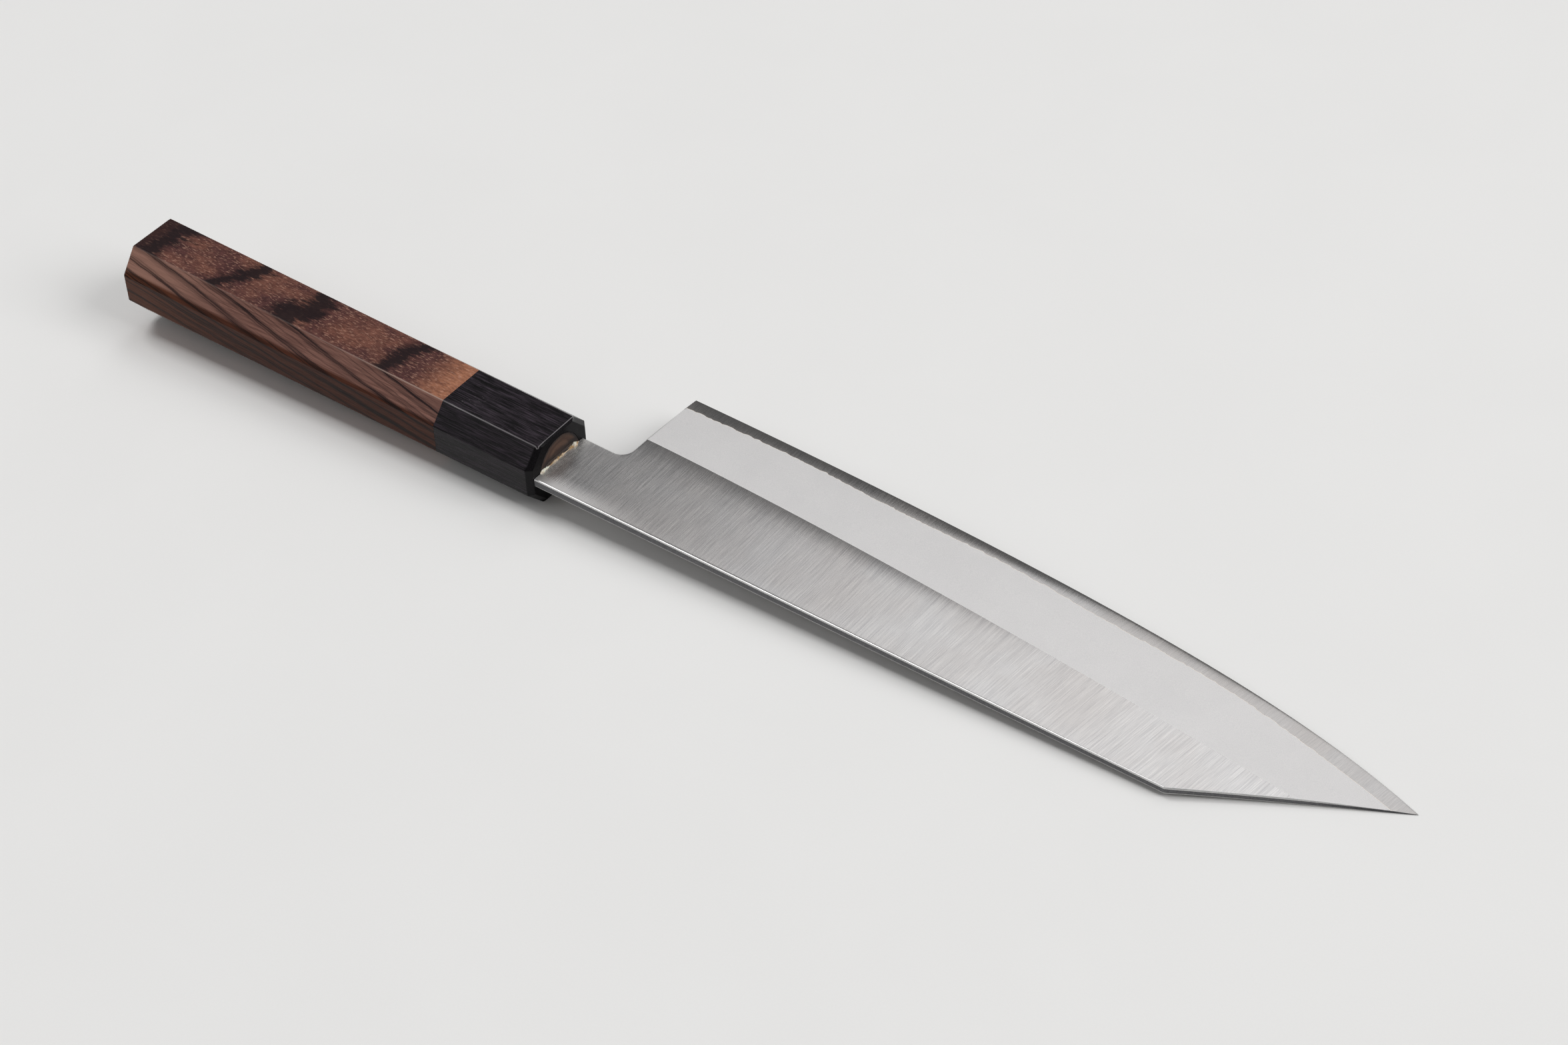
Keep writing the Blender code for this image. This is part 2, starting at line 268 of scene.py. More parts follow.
def piece(
    name: str,
    bm: BMesh,
    materials: Sequence[Material],
    nodes: Sequence[str] = (),
    crease: float = CREASE,
) -> None:
    """Close, lay down, link and declare a piece.

    Args:
        name: The piece's name.
        bm: Its bmesh in millimetres, which is freed.
        materials: Its materials in slot order. Filled holes get the last one.
        nodes: The CAD nodes that it replaces.
        crease: The angle from which an edge stays sharp.
    """
    bmesh.ops.remove_doubles(bm, verts=bm.verts, dist=MERGE)
    bmesh.ops.dissolve_degenerate(bm, edges=bm.edges, dist=MERGE / 10)
    holes = [edge for edge in bm.edges if edge.is_boundary]
    for face in bmesh.ops.holes_fill(bm, edges=holes, sides=0)["faces"]:
        face.material_index = len(materials) - 1
    bmesh.ops.recalc_face_normals(bm, faces=bm.faces)
    for edge in bm.edges:
        meeting = {face.material_index for face in edge.link_faces}
        soft = len(meeting) == 1 or Coat.RIM in meeting
        edge.smooth = soft and edge.calc_face_angle(math.pi) < crease
    open_edges = sum(not edge.is_manifold for edge in bm.edges)
    AXES.lay_down(bm)
    mesh = bpy.data.meshes.new(name)
    for face in bm.faces:
        face.smooth = True
    bm.to_mesh(mesh)
    bm.free()
    for material in materials:
        mesh.materials.append(material)
    made = bpy.data.objects.new(name, mesh)
    bpy.context.scene.collection.objects.link(made)
    shading = made.modifiers.new("flat facets", "WEIGHTED_NORMAL")
    shading.keep_sharp = True
    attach(made, BODY)
    if nodes:
        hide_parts(*nodes)
    LOG.info("%s: %d faces, %d open edges", name, len(mesh.polygons), open_edges)


# Shader work


@dataclass(frozen=True)
class Figure:
    """A stretched noise: its bumps per millimetre along each axis, its detail and its roughness."""

    scale: tuple[float, float, float]
    detail: float = 2.0
    rough: float = 0.5


class Signal:
    """A node's output. Arithmetic with it adds the nodes that do the sum."""

    def __init__(self, wiring: "Wiring", socket: bpy.types.NodeSocket) -> None:
        """Hold an output and the wiring of its tree."""
        self.wiring = wiring
        self.socket = socket

    def __add__(self, other: "Value") -> "Signal":
        """The sum."""
        return self.wiring.math("ADD", self, other)

    def __sub__(self, other: "Value") -> "Signal":
        """The difference."""
        return self.wiring.math("SUBTRACT", self, other)

    def __rsub__(self, other: float) -> "Signal":
        """A number less the signal."""
        return self.wiring.math("SUBTRACT", other, self)

    def __mul__(self, other: "Value") -> "Signal":
        """The product."""
        return self.wiring.math("MULTIPLY", self, other)

    def __truediv__(self, other: "Value") -> "Signal":
        """The quotient."""
        return self.wiring.math("DIVIDE", self, other)

    def __pow__(self, other: float) -> "Signal":
        """The power."""
        return self.wiring.math("POWER", self, other)

    def __or__(self, other: "Signal") -> "Signal":
        """The larger of two masks."""
        return self.wiring.math("MAXIMUM", self, other)

    def __abs__(self) -> "Signal":
        """The size without its sign."""
        return self.wiring.math("ABSOLUTE", self)

    def between(self, low: float, high: float, to_low: float = 0.0, to_high: float = 1.0) -> "Signal":
        """The signal taken softly from one range to another."""
        inputs = {0: self, 1: low, 2: high, 3: to_low, 4: to_high}
        return self.wiring.add("MapRange", inputs, interpolation_type="SMOOTHSTEP")[0]

    def near(self, at: float, outer: float, inner: float) -> "Signal":
        """1 up to an inner distance from a value, and 0 from an outer one."""
        return abs(self - at).between(outer, inner)


Value = float | Sequence[float] | Signal


class Wiring:
    """Adds nodes to one tree and joins them."""

    def __init__(self, tree: NodeTree) -> None:
        """Work on a node tree."""
        self.tree = tree

    def node(self, kind: str, inputs: dict | None = None, **settings: object) -> bpy.types.Node:
        """Add a node.

        Args:
            kind: The node's type after "ShaderNode".
            inputs: Signals or plain values by input name or number.
            **settings: The node's own properties.

        Returns:
            The node.
        """
        made = self.tree.nodes.new("ShaderNode" + kind)
        for name, setting in settings.items():
            setattr(made, name, setting)
        for key, value in (inputs or {}).items():
            if isinstance(value, Signal):
                self.tree.links.new(value.socket, made.inputs[key])
            else:
                made.inputs[key].default_value = value
        return made

    def add(self, kind: str, inputs: dict | None = None, **settings: object) -> list[Signal]:
        """Add a node and take hold of its outputs."""
        return [Signal(self, socket) for socket in self.node(kind, inputs, **settings).outputs]

    def math(self, operation: str, *values: Value, clamp: bool = False) -> Signal:
        """One step of arithmetic."""
        return self.add("Math", dict(enumerate(values)), operation=operation, use_clamp=clamp)[0]

    def scaled(self, vector: Signal, *scale: float) -> Signal:
        """A vector with each part multiplied by its own number."""
        return self.add("VectorMath", {0: vector, 1: scale}, operation="MULTIPLY")[0]

    def parts(self, vector: Signal) -> list[Signal]:
        """A vector's three parts."""
        return self.add("SeparateXYZ", {0: vector})

    def joined(self, *parts: Value) -> Signal:
        """A vector of up to three parts."""
        return self.add("CombineXYZ", dict(enumerate(parts)))[0]

    def noise(self, vector: Signal, detail: float, rough: float, warp: float = 0.0) -> Signal:
        """Noise of about one bump to each unit of the vector."""
        inputs = {"Vector": vector, "Scale": 1.0, "Detail": detail, "Roughness": rough, "Distortion": warp}
        return self.add("TexNoise", inputs)[0]

    def figure(self, place: Signal, figure: Figure) -> Signal:
        """A figure's noise at a place."""
        return self.noise(self.scaled(place, *figure.scale), figure.detail, figure.rough)

    def mixed(self, share: Value, first: Value, second: Value, way: str = "MIX") -> Signal:
        """A mix of two colours."""
        first, second = (end if isinstance(end, Signal) else (*end, 1.0) for end in (first, second))
        return self.add("Mix", {0: share, 6: first, 7: second}, data_type="RGBA", blend_type=way)[2]

    def tinted(self, colour: Value, tint: Colour) -> Signal:
        """A colour multiplied by another."""
        return self.mixed(1.0, colour, tint, "MULTIPLY")

    def ramp(self, value: Signal, stops: Sequence[Span]) -> Signal:
        """A grey level for each value.

        Args:
            value: From 0 to 1.
            stops: Positions with their grey levels.

        Returns:
            The grey level.
        """
        node = self.node("ValToRGB", {0: value})
        node.color_ramp.interpolation = "EASE"
        elements = node.color_ramp.elements
        while len(elements) < len(stops):
            elements.new(0.5)
        for element, (position, level) in zip(elements, stops):
            element.position = position
            element.color = (level, level, level, 1.0)
        return Signal(self, node.outputs[0])

    def bump(self, height: Signal, depth: float) -> Signal:
        """A normal from a height that spans a depth in millimetres."""
        return self.add("Bump", {"Height": height, "Distance": depth * MM})[0]


class Effect(Wiring):
    """A shader node group that more than one material uses."""

    def __init__(self, name: str, inputs: dict[str, float], outputs: Sequence[str]) -> None:
        """Make the group's sockets.

        Args:
            name: The group's name.
            inputs: Number inputs with their defaults. Place, a vector, always comes first.
            outputs: Number outputs.
        """
        super().__init__(bpy.data.node_groups.new(name, "ShaderNodeTree"))
        face = self.tree.interface
        face.new_socket("Place", in_out="INPUT", socket_type="NodeSocketVector")
        for label, default in inputs.items():
            socket = face.new_socket(label, in_out="INPUT", socket_type="NodeSocketFloat")
            socket.default_value = default
        for label in outputs:
            face.new_socket(label, in_out="OUTPUT", socket_type="NodeSocketFloat")
        given = self.tree.nodes.new("NodeGroupInput").outputs
        self.given = {socket.name: Signal(self, socket) for socket in given}
        self.result = self.tree.nodes.new("NodeGroupOutput").inputs

    def put(self, label: str, signal: Signal) -> None:
        """Send a signal out."""
        self.tree.links.new(signal.socket, self.result[label])

    def stretched(self, across: str, along: str, share: float = 1.0) -> Signal:
        """Place in bumps: so many millimetres across and so many along.

        Args:
            across: The input with a bump's width.
            along: The input with its length, which lies along the place's second part.
            share: What both are multiplied by.

        Returns:
            The vector for a noise.
        """
        x, y, z = self.parts(self.given["Place"])
        wide, long = self.given[across] * share, self.given[along] * share
        return self.joined(x / wide, y / long, z / wide)


def brushing_effect() -> NodeTree:
    """Long straight scratches of an abrasive belt: fine lines over broader bands.

    Returns:
        The group, which puts out the lines and the bands, both about 0.5.
    """
    effect = Effect("belt_brushing", {"Spacing": 0.3, "Length": 12.0}, ("Lines", "Bands"))
    fine = effect.noise(effect.stretched("Spacing", "Length"), detail=3.0, rough=0.7)
    broad = effect.noise(effect.stretched("Spacing", "Length", share=3.0), detail=2.0, rough=0.6)
    effect.put("Lines", fine.between(low=0.3, high=0.7))
    effect.put("Bands", broad.between(low=0.25, high=0.75))
    return effect.tree


def fibre_effect() -> NodeTree:
    """Wood fibre: streaks along the grain and scattered pores.

    Returns:
        The group, which puts out the fibre about 0.5 and the pores as a mask.
    """
    effect = Effect("wood_fibre", {"Width": 0.3, "Length": 6.0, "Pore Share": 0.3}, ("Fibre", "Pores"))
    streaks = effect.noise(effect.stretched("Width", "Length"), detail=4.0, rough=0.6, warp=0.4)
    pores = effect.noise(effect.stretched("Width", "Length", share=0.6), detail=1.0, rough=0.5, warp=0.2)
    without_pores, fall, steepness = 0.72, 0.3, 9.0
    low = without_pores - effect.given["Pore Share"] * fall
    effect.put("Fibre", streaks.between(low=0.25, high=0.75))
    effect.put("Pores", effect.math("MULTIPLY", pores - low, steepness, clamp=True))
    return effect.tree


def marks_effect() -> NodeTree:
    """What handling leaves: soft cloudy smudges, and fine grit.

    Returns:
        The group, which puts out both about 0.5.
    """
    effect = Effect("handling_marks", {"Cloud": 18.0, "Grit": 0.25}, ("Smudge", "Grain"))
    clouds = effect.noise(effect.stretched("Cloud", "Cloud"), detail=3.0, rough=0.55, warp=0.3)
    grains = effect.noise(effect.stretched("Grit", "Grit"), detail=2.0, rough=0.6)
    effect.put("Smudge", clouds.between(low=0.3, high=0.7))
    effect.put("Grain", grains.between(low=0.25, high=0.75))
    return effect.tree


BRUSHING, FIBRE, MARKS = brushing_effect(), fibre_effect(), marks_effect()


class Surface(Wiring):
    """The nodes of one material."""

    def __init__(self, name: str, **constants: float) -> None:
        """Start a material.

        Args:
            name: The material's name.
            **constants: Values of the shader's own sockets, with _ in their names for a space.
        """
        self.material = bpy.data.materials.new(name)
        self.material.use_nodes = True
        super().__init__(self.material.node_tree)
        self.shader = self.tree.nodes["Principled BSDF"].inputs
        for key, value in constants.items():
            self.shader[key.replace("_", " ")].default_value = value

    def finished(self, **signals: Signal) -> Material:
        """Feed the shader.

        Args:
            **signals: What each socket gets, with _ in their names for a space.

        Returns:
            The material.
        """
        for name, signal in signals.items():
            self.tree.links.new(signal.socket, self.shader[name.replace("_", " ")])
        return self.material

    def object_place(self) -> Signal:
        """Object coordinates, in metres."""
        return Signal(self, self.node("TexCoord").outputs["Object"])

    def knife_place(self) -> Signal:
        """Find where on the knife a shaded point lies.

        Returns:
            Object coordinates turned to the knife's own axes, in millimetres.
        """
        inputs = {"Vector": self.object_place(), "Location": AXES.rest.translation, "Scale": (MM, MM, MM)}
        inputs["Rotation"] = AXES.rest.to_euler()
        return self.add("Mapping", inputs, vector_type="TEXTURE")[0]

    def along_grain(self, place: Signal) -> Signal:
        """A place turned so that its second part lies along the handle."""
        return self.add("Mapping", {"Vector": place, "Rotation": (0.0, 0.0, math.pi / 2)})[0]

    def map(self, name: str) -> Signal:
        """A UV map of the piece."""
        return self.add("UVMap", uv_map=name)[0]

    def brushing(self, place: Signal, spacing: float, length: float) -> list[Signal]:
        """The belt's lines and bands."""
        return self.add("Group", {"Place": place, "Spacing": spacing, "Length": length}, node_tree=BRUSHING)

    def fibre(self, place: Signal, width: float, length: float, pores: float) -> list[Signal]:
        """Wood fibre and its pores."""
        inputs = {"Place": place, "Width": width, "Length": length, "Pore Share": pores}
        return self.add("Group", inputs, node_tree=FIBRE)

    def marks(self, place: Signal, cloud: float, grit: float) -> list[Signal]:
        """Smudges and grain."""
        return self.add("Group", {"Place": place, "Cloud": cloud, "Grit": grit}, node_tree=MARKS)


@dataclass(frozen=True)
class BeltedSteel:
    """Steel from an abrasive belt, whose lines follow the brushing map."""

    name: str
    light: Colour = (0.59, 0.58, 0.575)
    dark: Colour = (0.36, 0.355, 0.36)
    roughness: float = 0.19
    anisotropy: float = 0.8
    spacing: float = 0.16
    length: float = 8.0
    line_share: float = 0.65
    line_roughness: float = 0.04
    line_depth: float = 0.0006
    band_depth_share: float = 0.5
    cloud: float = 22.0
    grit: float = 0.4
    smudge_share: float = 0.7
    smudge_roughness: float = 0.03
    tint: Colour = (1.0, 0.97, 0.95)
    # Painted light: colour of a paler patch on the flat towards the ferrule on the spine side, standing in
    # for light that the ferrule blocks.
    painted_light: Colour = (0.86, 0.84, 0.83)
    painted_light_share: float = 0.75
    painted_light_along: Span = (36.0, 2.0)
    painted_light_across: Span = (-4.0, -9.3)
    film: Colour = (0.8, 0.775, 0.74)
    film_figure: Figure = Figure((1.4, 0.9, 1.0), rough=0.6)
    film_patches: tuple[float, ...] = (0.3, 0.7, 0.6, 1.0)
    film_along: tuple[float, ...] = (4.2, 0.4, 0.0, 0.8)
    film_metal_loss: float = 0.3
    dulled: float = 0.12

    def make(self) -> Material:
        """Build the material.

        Returns:
            The material.
        """
        s = Surface(self.name, Anisotropic=self.anisotropy)
        belt_place, place = s.map(BRUSHING_MAP), s.knife_place()
        x, y, _ = s.parts(place)
        lines, bands = s.brushing(belt_place, self.spacing, self.length)
        smudge = s.marks(belt_place, self.cloud, self.grit)[0]
        colour = s.mixed(lines * self.line_share + bands * (1 - self.line_share), self.dark, self.light)
        colour = s.mixed(smudge * self.smudge_share, colour, s.tinted(colour, self.tint))
        # Painted light: the flat is lightened towards the ferrule on the spine side; the same patch is also
        # made a little rougher.
        painted_light = x.between(*self.painted_light_along) * y.between(*self.painted_light_across)
        colour = s.mixed(painted_light * self.painted_light_share, colour, self.painted_light)
        patches = s.figure(place, self.film_figure).between(*self.film_patches)
        film = patches * x.between(*self.film_along)
        rough = lines * self.line_roughness + (self.roughness - self.line_roughness / 2)
        rough = rough + smudge * self.smudge_roughness + (painted_light | film) * self.dulled
        return s.finished(
            Base_Color=s.mixed(film, colour, self.film),
            Metallic=1.0 - film * self.film_metal_loss,
            Roughness=rough,
            Normal=s.bump(bands * self.band_depth_share + lines, self.line_depth),
            Tangent=s.add("Tangent", direction_type="UV_MAP", uv_map=BRUSHING_MAP)[0],
        )


@dataclass(frozen=True)
class PlainSteel:
    """Steel finished by hand with fine paper, without a clear direction."""

    name: str
    light: Colour = (0.8, 0.79, 0.78)
    dark: Colour = (0.7, 0.695, 0.69)
    roughness: float = 0.42
    roughness_swing: float = 0.1
    cloud: float = 6.0
    grit: float = 0.35
    depth: float = 0.001

    def make(self) -> Material:
        """Build the material.

        Returns:
            The material.
        """
        s = Surface(self.name, Metallic=1.0)
        smudge, grain = s.marks(s.knife_place(), self.cloud, self.grit)
        rough = smudge * self.roughness_swing + (self.roughness - self.roughness_swing / 2)
        colour = s.mixed(grain, self.dark, self.light)
        return s.finished(Base_Color=colour, Roughness=rough, Normal=s.bump(grain, self.depth))


@dataclass(frozen=True)
class MistedSteel:
    """The wide bevel: an even, matte polish, with a pale creamy hairline along the weld that is a painted
    highlight.
    """

    name: str = "misted_steel"
    light: Colour = (0.82, 0.805, 0.8)
    dark: Colour = (0.71, 0.7, 0.7)
    roughness: float = 0.5
    roughness_swing: float = 0.08
    metallic: float = 0.85
    cloud: float = 14.0
    grit: float = 0.22
    grain_share: float = 0.8
    depth: float = 0.0025
    weld_highlight_colour: Colour = (0.86, 0.78, 0.69)
    weld_width: float = 0.12
    weld_dulled: float = 0.1
    weld_metal_loss: float = 0.6

    def make(self) -> Material:
        """Build the material.

        Returns:
            The material.
        """
        s = Surface(self.name)
        smudge, grain = s.marks(s.knife_place(), self.cloud, self.grit)
        above_weld = s.parts(s.map(WELD_MAP))[1]
        # Painted highlight: a pale creamy hairline just above the weld line, less metallic and a little
        # rougher.
        weld = above_weld.between(self.weld_width, self.weld_width / 2)
        tone = smudge * (1 - self.grain_share) + grain * self.grain_share
        rough = grain * self.roughness_swing + (self.roughness - self.roughness_swing / 2)
        return s.finished(
            Base_Color=s.mixed(weld, s.mixed(tone, self.dark, self.light), self.weld_highlight_colour),
            Roughness=rough + weld * self.weld_dulled,
            Metallic=self.metallic - weld * self.weld_metal_loss,
            Normal=s.bump(grain, self.depth),
        )


@dataclass(frozen=True)
class Rosewood:
    """Oiled rosewood in dark and light layers that dive under the top facet towards the ferrule.

    Each layer has its middle, its half width and how dark it is. Depths grow upwards.
    """

    name: str = "rosewood"
    red: Colour = (0.105, 0.04, 0.036)
    orange: Colour = (0.21, 0.085, 0.058)
    amber: Colour = (0.42, 0.18, 0.1)
    furrow: Colour = (0.4, 0.36, 0.4)
    slant_deep: Colour = (0.13, 0.06, 0.048)
    slant_light: Colour = (0.27, 0.135, 0.105)
    slant_sheen: Colour = (0.4, 0.22, 0.165)
    # edge is the colour of a painted highlight along the top facet's corners.
    edge: Colour = (0.5, 0.36, 0.3)
    side_shade: Colour = (0.32, 0.19, 0.12)
    dark: Colour = (0.011, 0.0048, 0.0062)
    fleck: Colour = (0.5, 0.28, 0.2)
    specular: float = 0.12
    coat: float = 0.06
    coat_roughness: float = 0.2
    roughness: float = 0.34
    fibre_roughness: float = 0.12
    smudge_roughness: float = 0.08
    depth: float = 0.012
    short_fibre: tuple[float, ...] = (0.5, 2.2, 0.5)
    fine_fibre: tuple[float, ...] = (0.3, 9.0, 0.2)
    cloud: float = 16.0
    grit: float = 0.3
    slants: Span = (6.5, 7.0)
    sides: Span = (10.4, 11.0)
    dive: float = 0.14
    lean: float = -0.05
    wander_figure: Figure = Figure((0.06, 0.1, 0.1))
    wander: float = 1.7
    sway_figure: Figure = Figure((0.22, 0.95, 0.95), 3.0, 0.7)
    sway: float = 1.4
    slant_sway: float = 0.3
    low: float = -31.0
    high: float = 6.0
    fall_share: float = 0.8
    layers: tuple[tuple[float, float, float], ...] = (
        (-25.0, 1.0, 0.9),
        (-21.5, 0.7, 0.8),
        (-18.4, 0.8, 0.9),
        (-15.4, 0.45, 0.8),
        (-12.6, 0.5, 0.9),
        (-10.2, 0.7, 0.75),
        (-7.3, 0.95, 1.0),
        (-4.3, 0.75, 1.0),
        (-1.4, 0.85, 1.0),
        (2.75, 0.8, 1.0),
    )
    layer_strength: float = 1.35
    line_figure: Figure = Figure((3.2, 0.03, 1.0), rough=0.6)
    line_levels: tuple[float, ...] = (0.38, 0.6, 0.4, 1.0)
    line_power: float = 0.7
    thin_figure: Figure = Figure((1.7, 0.012, 1.0), rough=0.6)
    thin_levels: Span = (0.5, 0.66)
    thin_share: float = 0.1
    thin_slant_gain: float = 0.4
    thin_side_gain: float = 0.7
    dark_share: float = 0.95
    glow_figure: Figure = Figure((0.09, 0.16, 0.16))
    glow_levels: Span = (0.35, 0.68)
    amber_along: Span = (-43.0, -31.0)
    fleck_share: float = 0.42
    slant_sheen_along: tuple[float, ...] = (-95.0, -128.0, 0.0, 0.5)
    burnt_along: Span = (-124.5, -128.0)
    burnt_share: float = 0.75
    edge_widths: Span = (0.18, 0.05)
    edge_along: tuple[float, ...] = (-80.0, -34.0, 0.1, 0.6)

    def layer_depth(self, s: Surface, place: Signal, beside: Signal) -> Signal:
        """How deep in the tree's layers a place lies, with their wander and their ragged edges.

        Args:
            s: The material's nodes.
            place: Knife coordinates in millimetres.
            beside: 1 on the facets that cut the layers lengthwise.

        Returns:
            The depth in millimetres.
        """
        x, y, z = s.parts(place)
        wander = (s.figure(place, self.wander_figure) - 0.5) * self.wander
        sway = self.sway - beside * (self.sway - self.slant_sway)
        return z + x * self.dive + y * self.lean + wander + (s.figure(place, self.sway_figure) - 0.5) * sway

    def layer_share(self, s: Surface, depth: Signal) -> Signal:
        """How dark the main growth layers are.

        Args:
            s: The material's nodes.
            depth: Depth in the layers.

        Returns:
            The darkness from 0 to 1.
        """
        span = self.high - self.low
        stops = []
        for middle, half, level in self.layers:
            at, rise = (middle - self.low) / span, half / span
            stops += [(at - rise, 0.0), (at, level), (at + rise * self.fall_share, 0.0)]
        return s.ramp((depth - self.low) / span, stops)

    def darkness(self, s: Surface, place: Signal, beside: Signal, on_side: Signal) -> Signal:
        """The main layers, drawn out to lines beside the top facet, and the thin ones between.

        Args:
            s: The material's nodes.
            place: Knife coordinates in millimetres.
            beside: 1 on the facets that cut the layers lengthwise.
            on_side: 1 on the narrow upright facets among them.

        Returns:
            How dark the wood is, from 0 to 1.
        """
        depth = self.layer_depth(s, place, beside)
        figured = s.joined(depth, s.parts(place)[0])
        broad = s.math("MULTIPLY", self.layer_share(s, depth), self.layer_strength, clamp=True)
        lines = s.figure(figured, self.line_figure).between(*self.line_levels) * broad**self.line_power
        thin = s.figure(figured, self.thin_figure).between(*self.thin_levels)
        thin = thin * (beside * self.thin_slant_gain + self.thin_share)
        return (broad + (lines - broad) * beside) | (thin + thin * on_side * self.thin_side_gain)

    def make(self) -> Material:
        """Build the material.

        Returns:
            The material.
        """
        s = Surface(self.name, Specular_IOR_Level=self.specular, Coat_Roughness=self.coat_roughness)
        place = s.knife_place()
        x, y, _ = s.parts(place)
        beside, on_side = abs(y).between(*self.slants), abs(y).between(*self.sides)
        short, pores = s.fibre(s.along_grain(place), *self.short_fibre)
        fine = s.fibre(s.along_grain(place), *self.fine_fibre)[0]
        smudge = s.marks(place, self.cloud, self.grit)[0]
        glow = s.figure(place, self.glow_figure).between(*self.glow_levels)
        flat = s.mixed(x.between(*self.amber_along), s.mixed(glow, self.red, self.orange), self.amber)
        flat = s.mixed(short, s.tinted(flat, self.furrow), flat)
        flat = s.mixed(pores * self.fleck_share, flat, self.fleck)
        slant = s.mixed(fine, self.slant_light, self.slant_deep)
        # Painted sheen: the slanted facets turn paler towards the butt.
        slant = s.mixed(x.between(*self.slant_sheen_along), slant, self.slant_sheen)
        burnt = x.between(*self.burnt_along) * (self.burnt_share - beside * self.burnt_share)
        dark = self.darkness(s, place, beside, on_side) * self.dark_share
        colour = s.mixed(dark | burnt, s.mixed(beside, flat, slant), self.dark)
        # Painted shade: the narrow upright side facets are darkened.
        colour = s.mixed(on_side, colour, s.tinted(colour, self.side_shade))
        # Painted highlight: a thin pale line along the top facet's corners, stronger towards the ferrule.
        painted_edge_highlight = abs(y).near(TOP_FACET_HALF, *self.edge_widths) * x.between(*self.edge_along)
        return s.finished(
            Base_Color=s.mixed(painted_edge_highlight, colour, self.edge),
            Roughness=fine * self.fibre_roughness + smudge * self.smudge_roughness + self.roughness,
            Coat_Weight=smudge * self.coat,
            Normal=s.bump(fine + short, self.depth),
        )


@dataclass(frozen=True)
class BlackWood:
    """Near-black hardwood with wavy grain that catches the light on the top facet."""

    name: str = "black_wood"
    deep: Colour = (0.003, 0.0026, 0.0031)
    streak: Colour = (0.05, 0.037, 0.05)
    scuff: Colour = (0.3, 0.28, 0.28)
    # Colour of a painted highlight on the ferrule's upper corners.
    rim_highlight: Colour = (0.3, 0.28, 0.29)
    specular: float = 0.14
    fibre: tuple[float, ...] = (0.3, 7.0, 0.35)
    fibre_depth: float = 0.02
    cloud: float = 9.0
    grit: float = 0.35
    slants: Span = (6.4, 7.2)
    slant_loss: float = 0.15
    slant_shift: float = 0.8
    front_along: tuple[float, ...] = (-0.5, -0.75, 0.12, 1.0)
    streak_power: float = 2.4
    streak_roughness: float = 0.24
    scuff_figure: Figure = Figure((1.3, 2.6, 2.6), 3.0, 0.7)
    scuff_levels: Span = (0.62, 0.7)
    scuff_across: tuple[Span, Span] = ((1.0, -1.5), (-6.6, -6.0))
    scuff_along: tuple[Span, Span] = ((-27.5, -25.5), (-19.5, -22.0))
    scuff_share: float = 0.5
    corner_widths: Span = (0.17, 0.04)
    rim_x: float = -0.6
    rim_widths: Span = (0.13, 0.04)
    rim_highlight_above: Span = (8.0, 8.3)
    rim_highlight_share: float = 0.4
    rim_highlight_roughness: float = 0.2
    smudge_roughness: float = 0.06
    roughness: float = 0.2

    def scuffs(self, s: Surface, place: Signal) -> Signal:
        """Pale specks on the top facet near the grip.

        Args:
            s: The material's nodes.
            place: Knife coordinates in millimetres.

        Returns:
            The specks as a mask.
        """
        x, y, _ = s.parts(place)
        specks = s.figure(place, self.scuff_figure).between(*self.scuff_levels)
        for part, spans in ((x, self.scuff_along), (y, self.scuff_across)):
            for span in spans:
                specks = specks * part.between(*span)
        return specks

    def make(self) -> Material:
        """Build the material.

        Returns:
            The material.
        """
        s = Surface(self.name, Specular_IOR_Level=self.specular)
        place = s.knife_place()
        x, y, z = s.parts(place)
        fibre = s.fibre(s.along_grain(place), *self.fibre)[0]
        smudge = s.marks(place, self.cloud, self.grit)[0]
        beside = abs(y).between(*self.slants)
        strength = (x + beside * self.slant_shift).between(*self.front_along)
        strength = (1.0 - beside * self.slant_loss) * strength
        streaks = fibre**self.streak_power * strength
        colour = s.mixed(streaks, self.deep, self.streak)
        colour = s.mixed(self.scuffs(s, place) * self.scuff_share, colour, self.scuff)
        # Painted highlight: a pale, uneven line along the top facet's corners and the front chamfer's upper
        # edge, also made rougher.
        line = abs(y).near(TOP_FACET_HALF, *self.corner_widths) | x.near(self.rim_x, *self.rim_widths)
        rim_highlight = line * z.between(*self.rim_highlight_above) * (smudge * self.rim_highlight_share + self.rim_highlight_share)
        rough = streaks * self.streak_roughness + rim_highlight * self.rim_highlight_roughness
        return s.finished(
            Base_Color=s.mixed(rim_highlight, colour, self.rim_highlight),
            Roughness=rough + smudge * self.smudge_roughness + self.roughness,
            Normal=s.bump(fibre * strength, self.fibre_depth),
        )


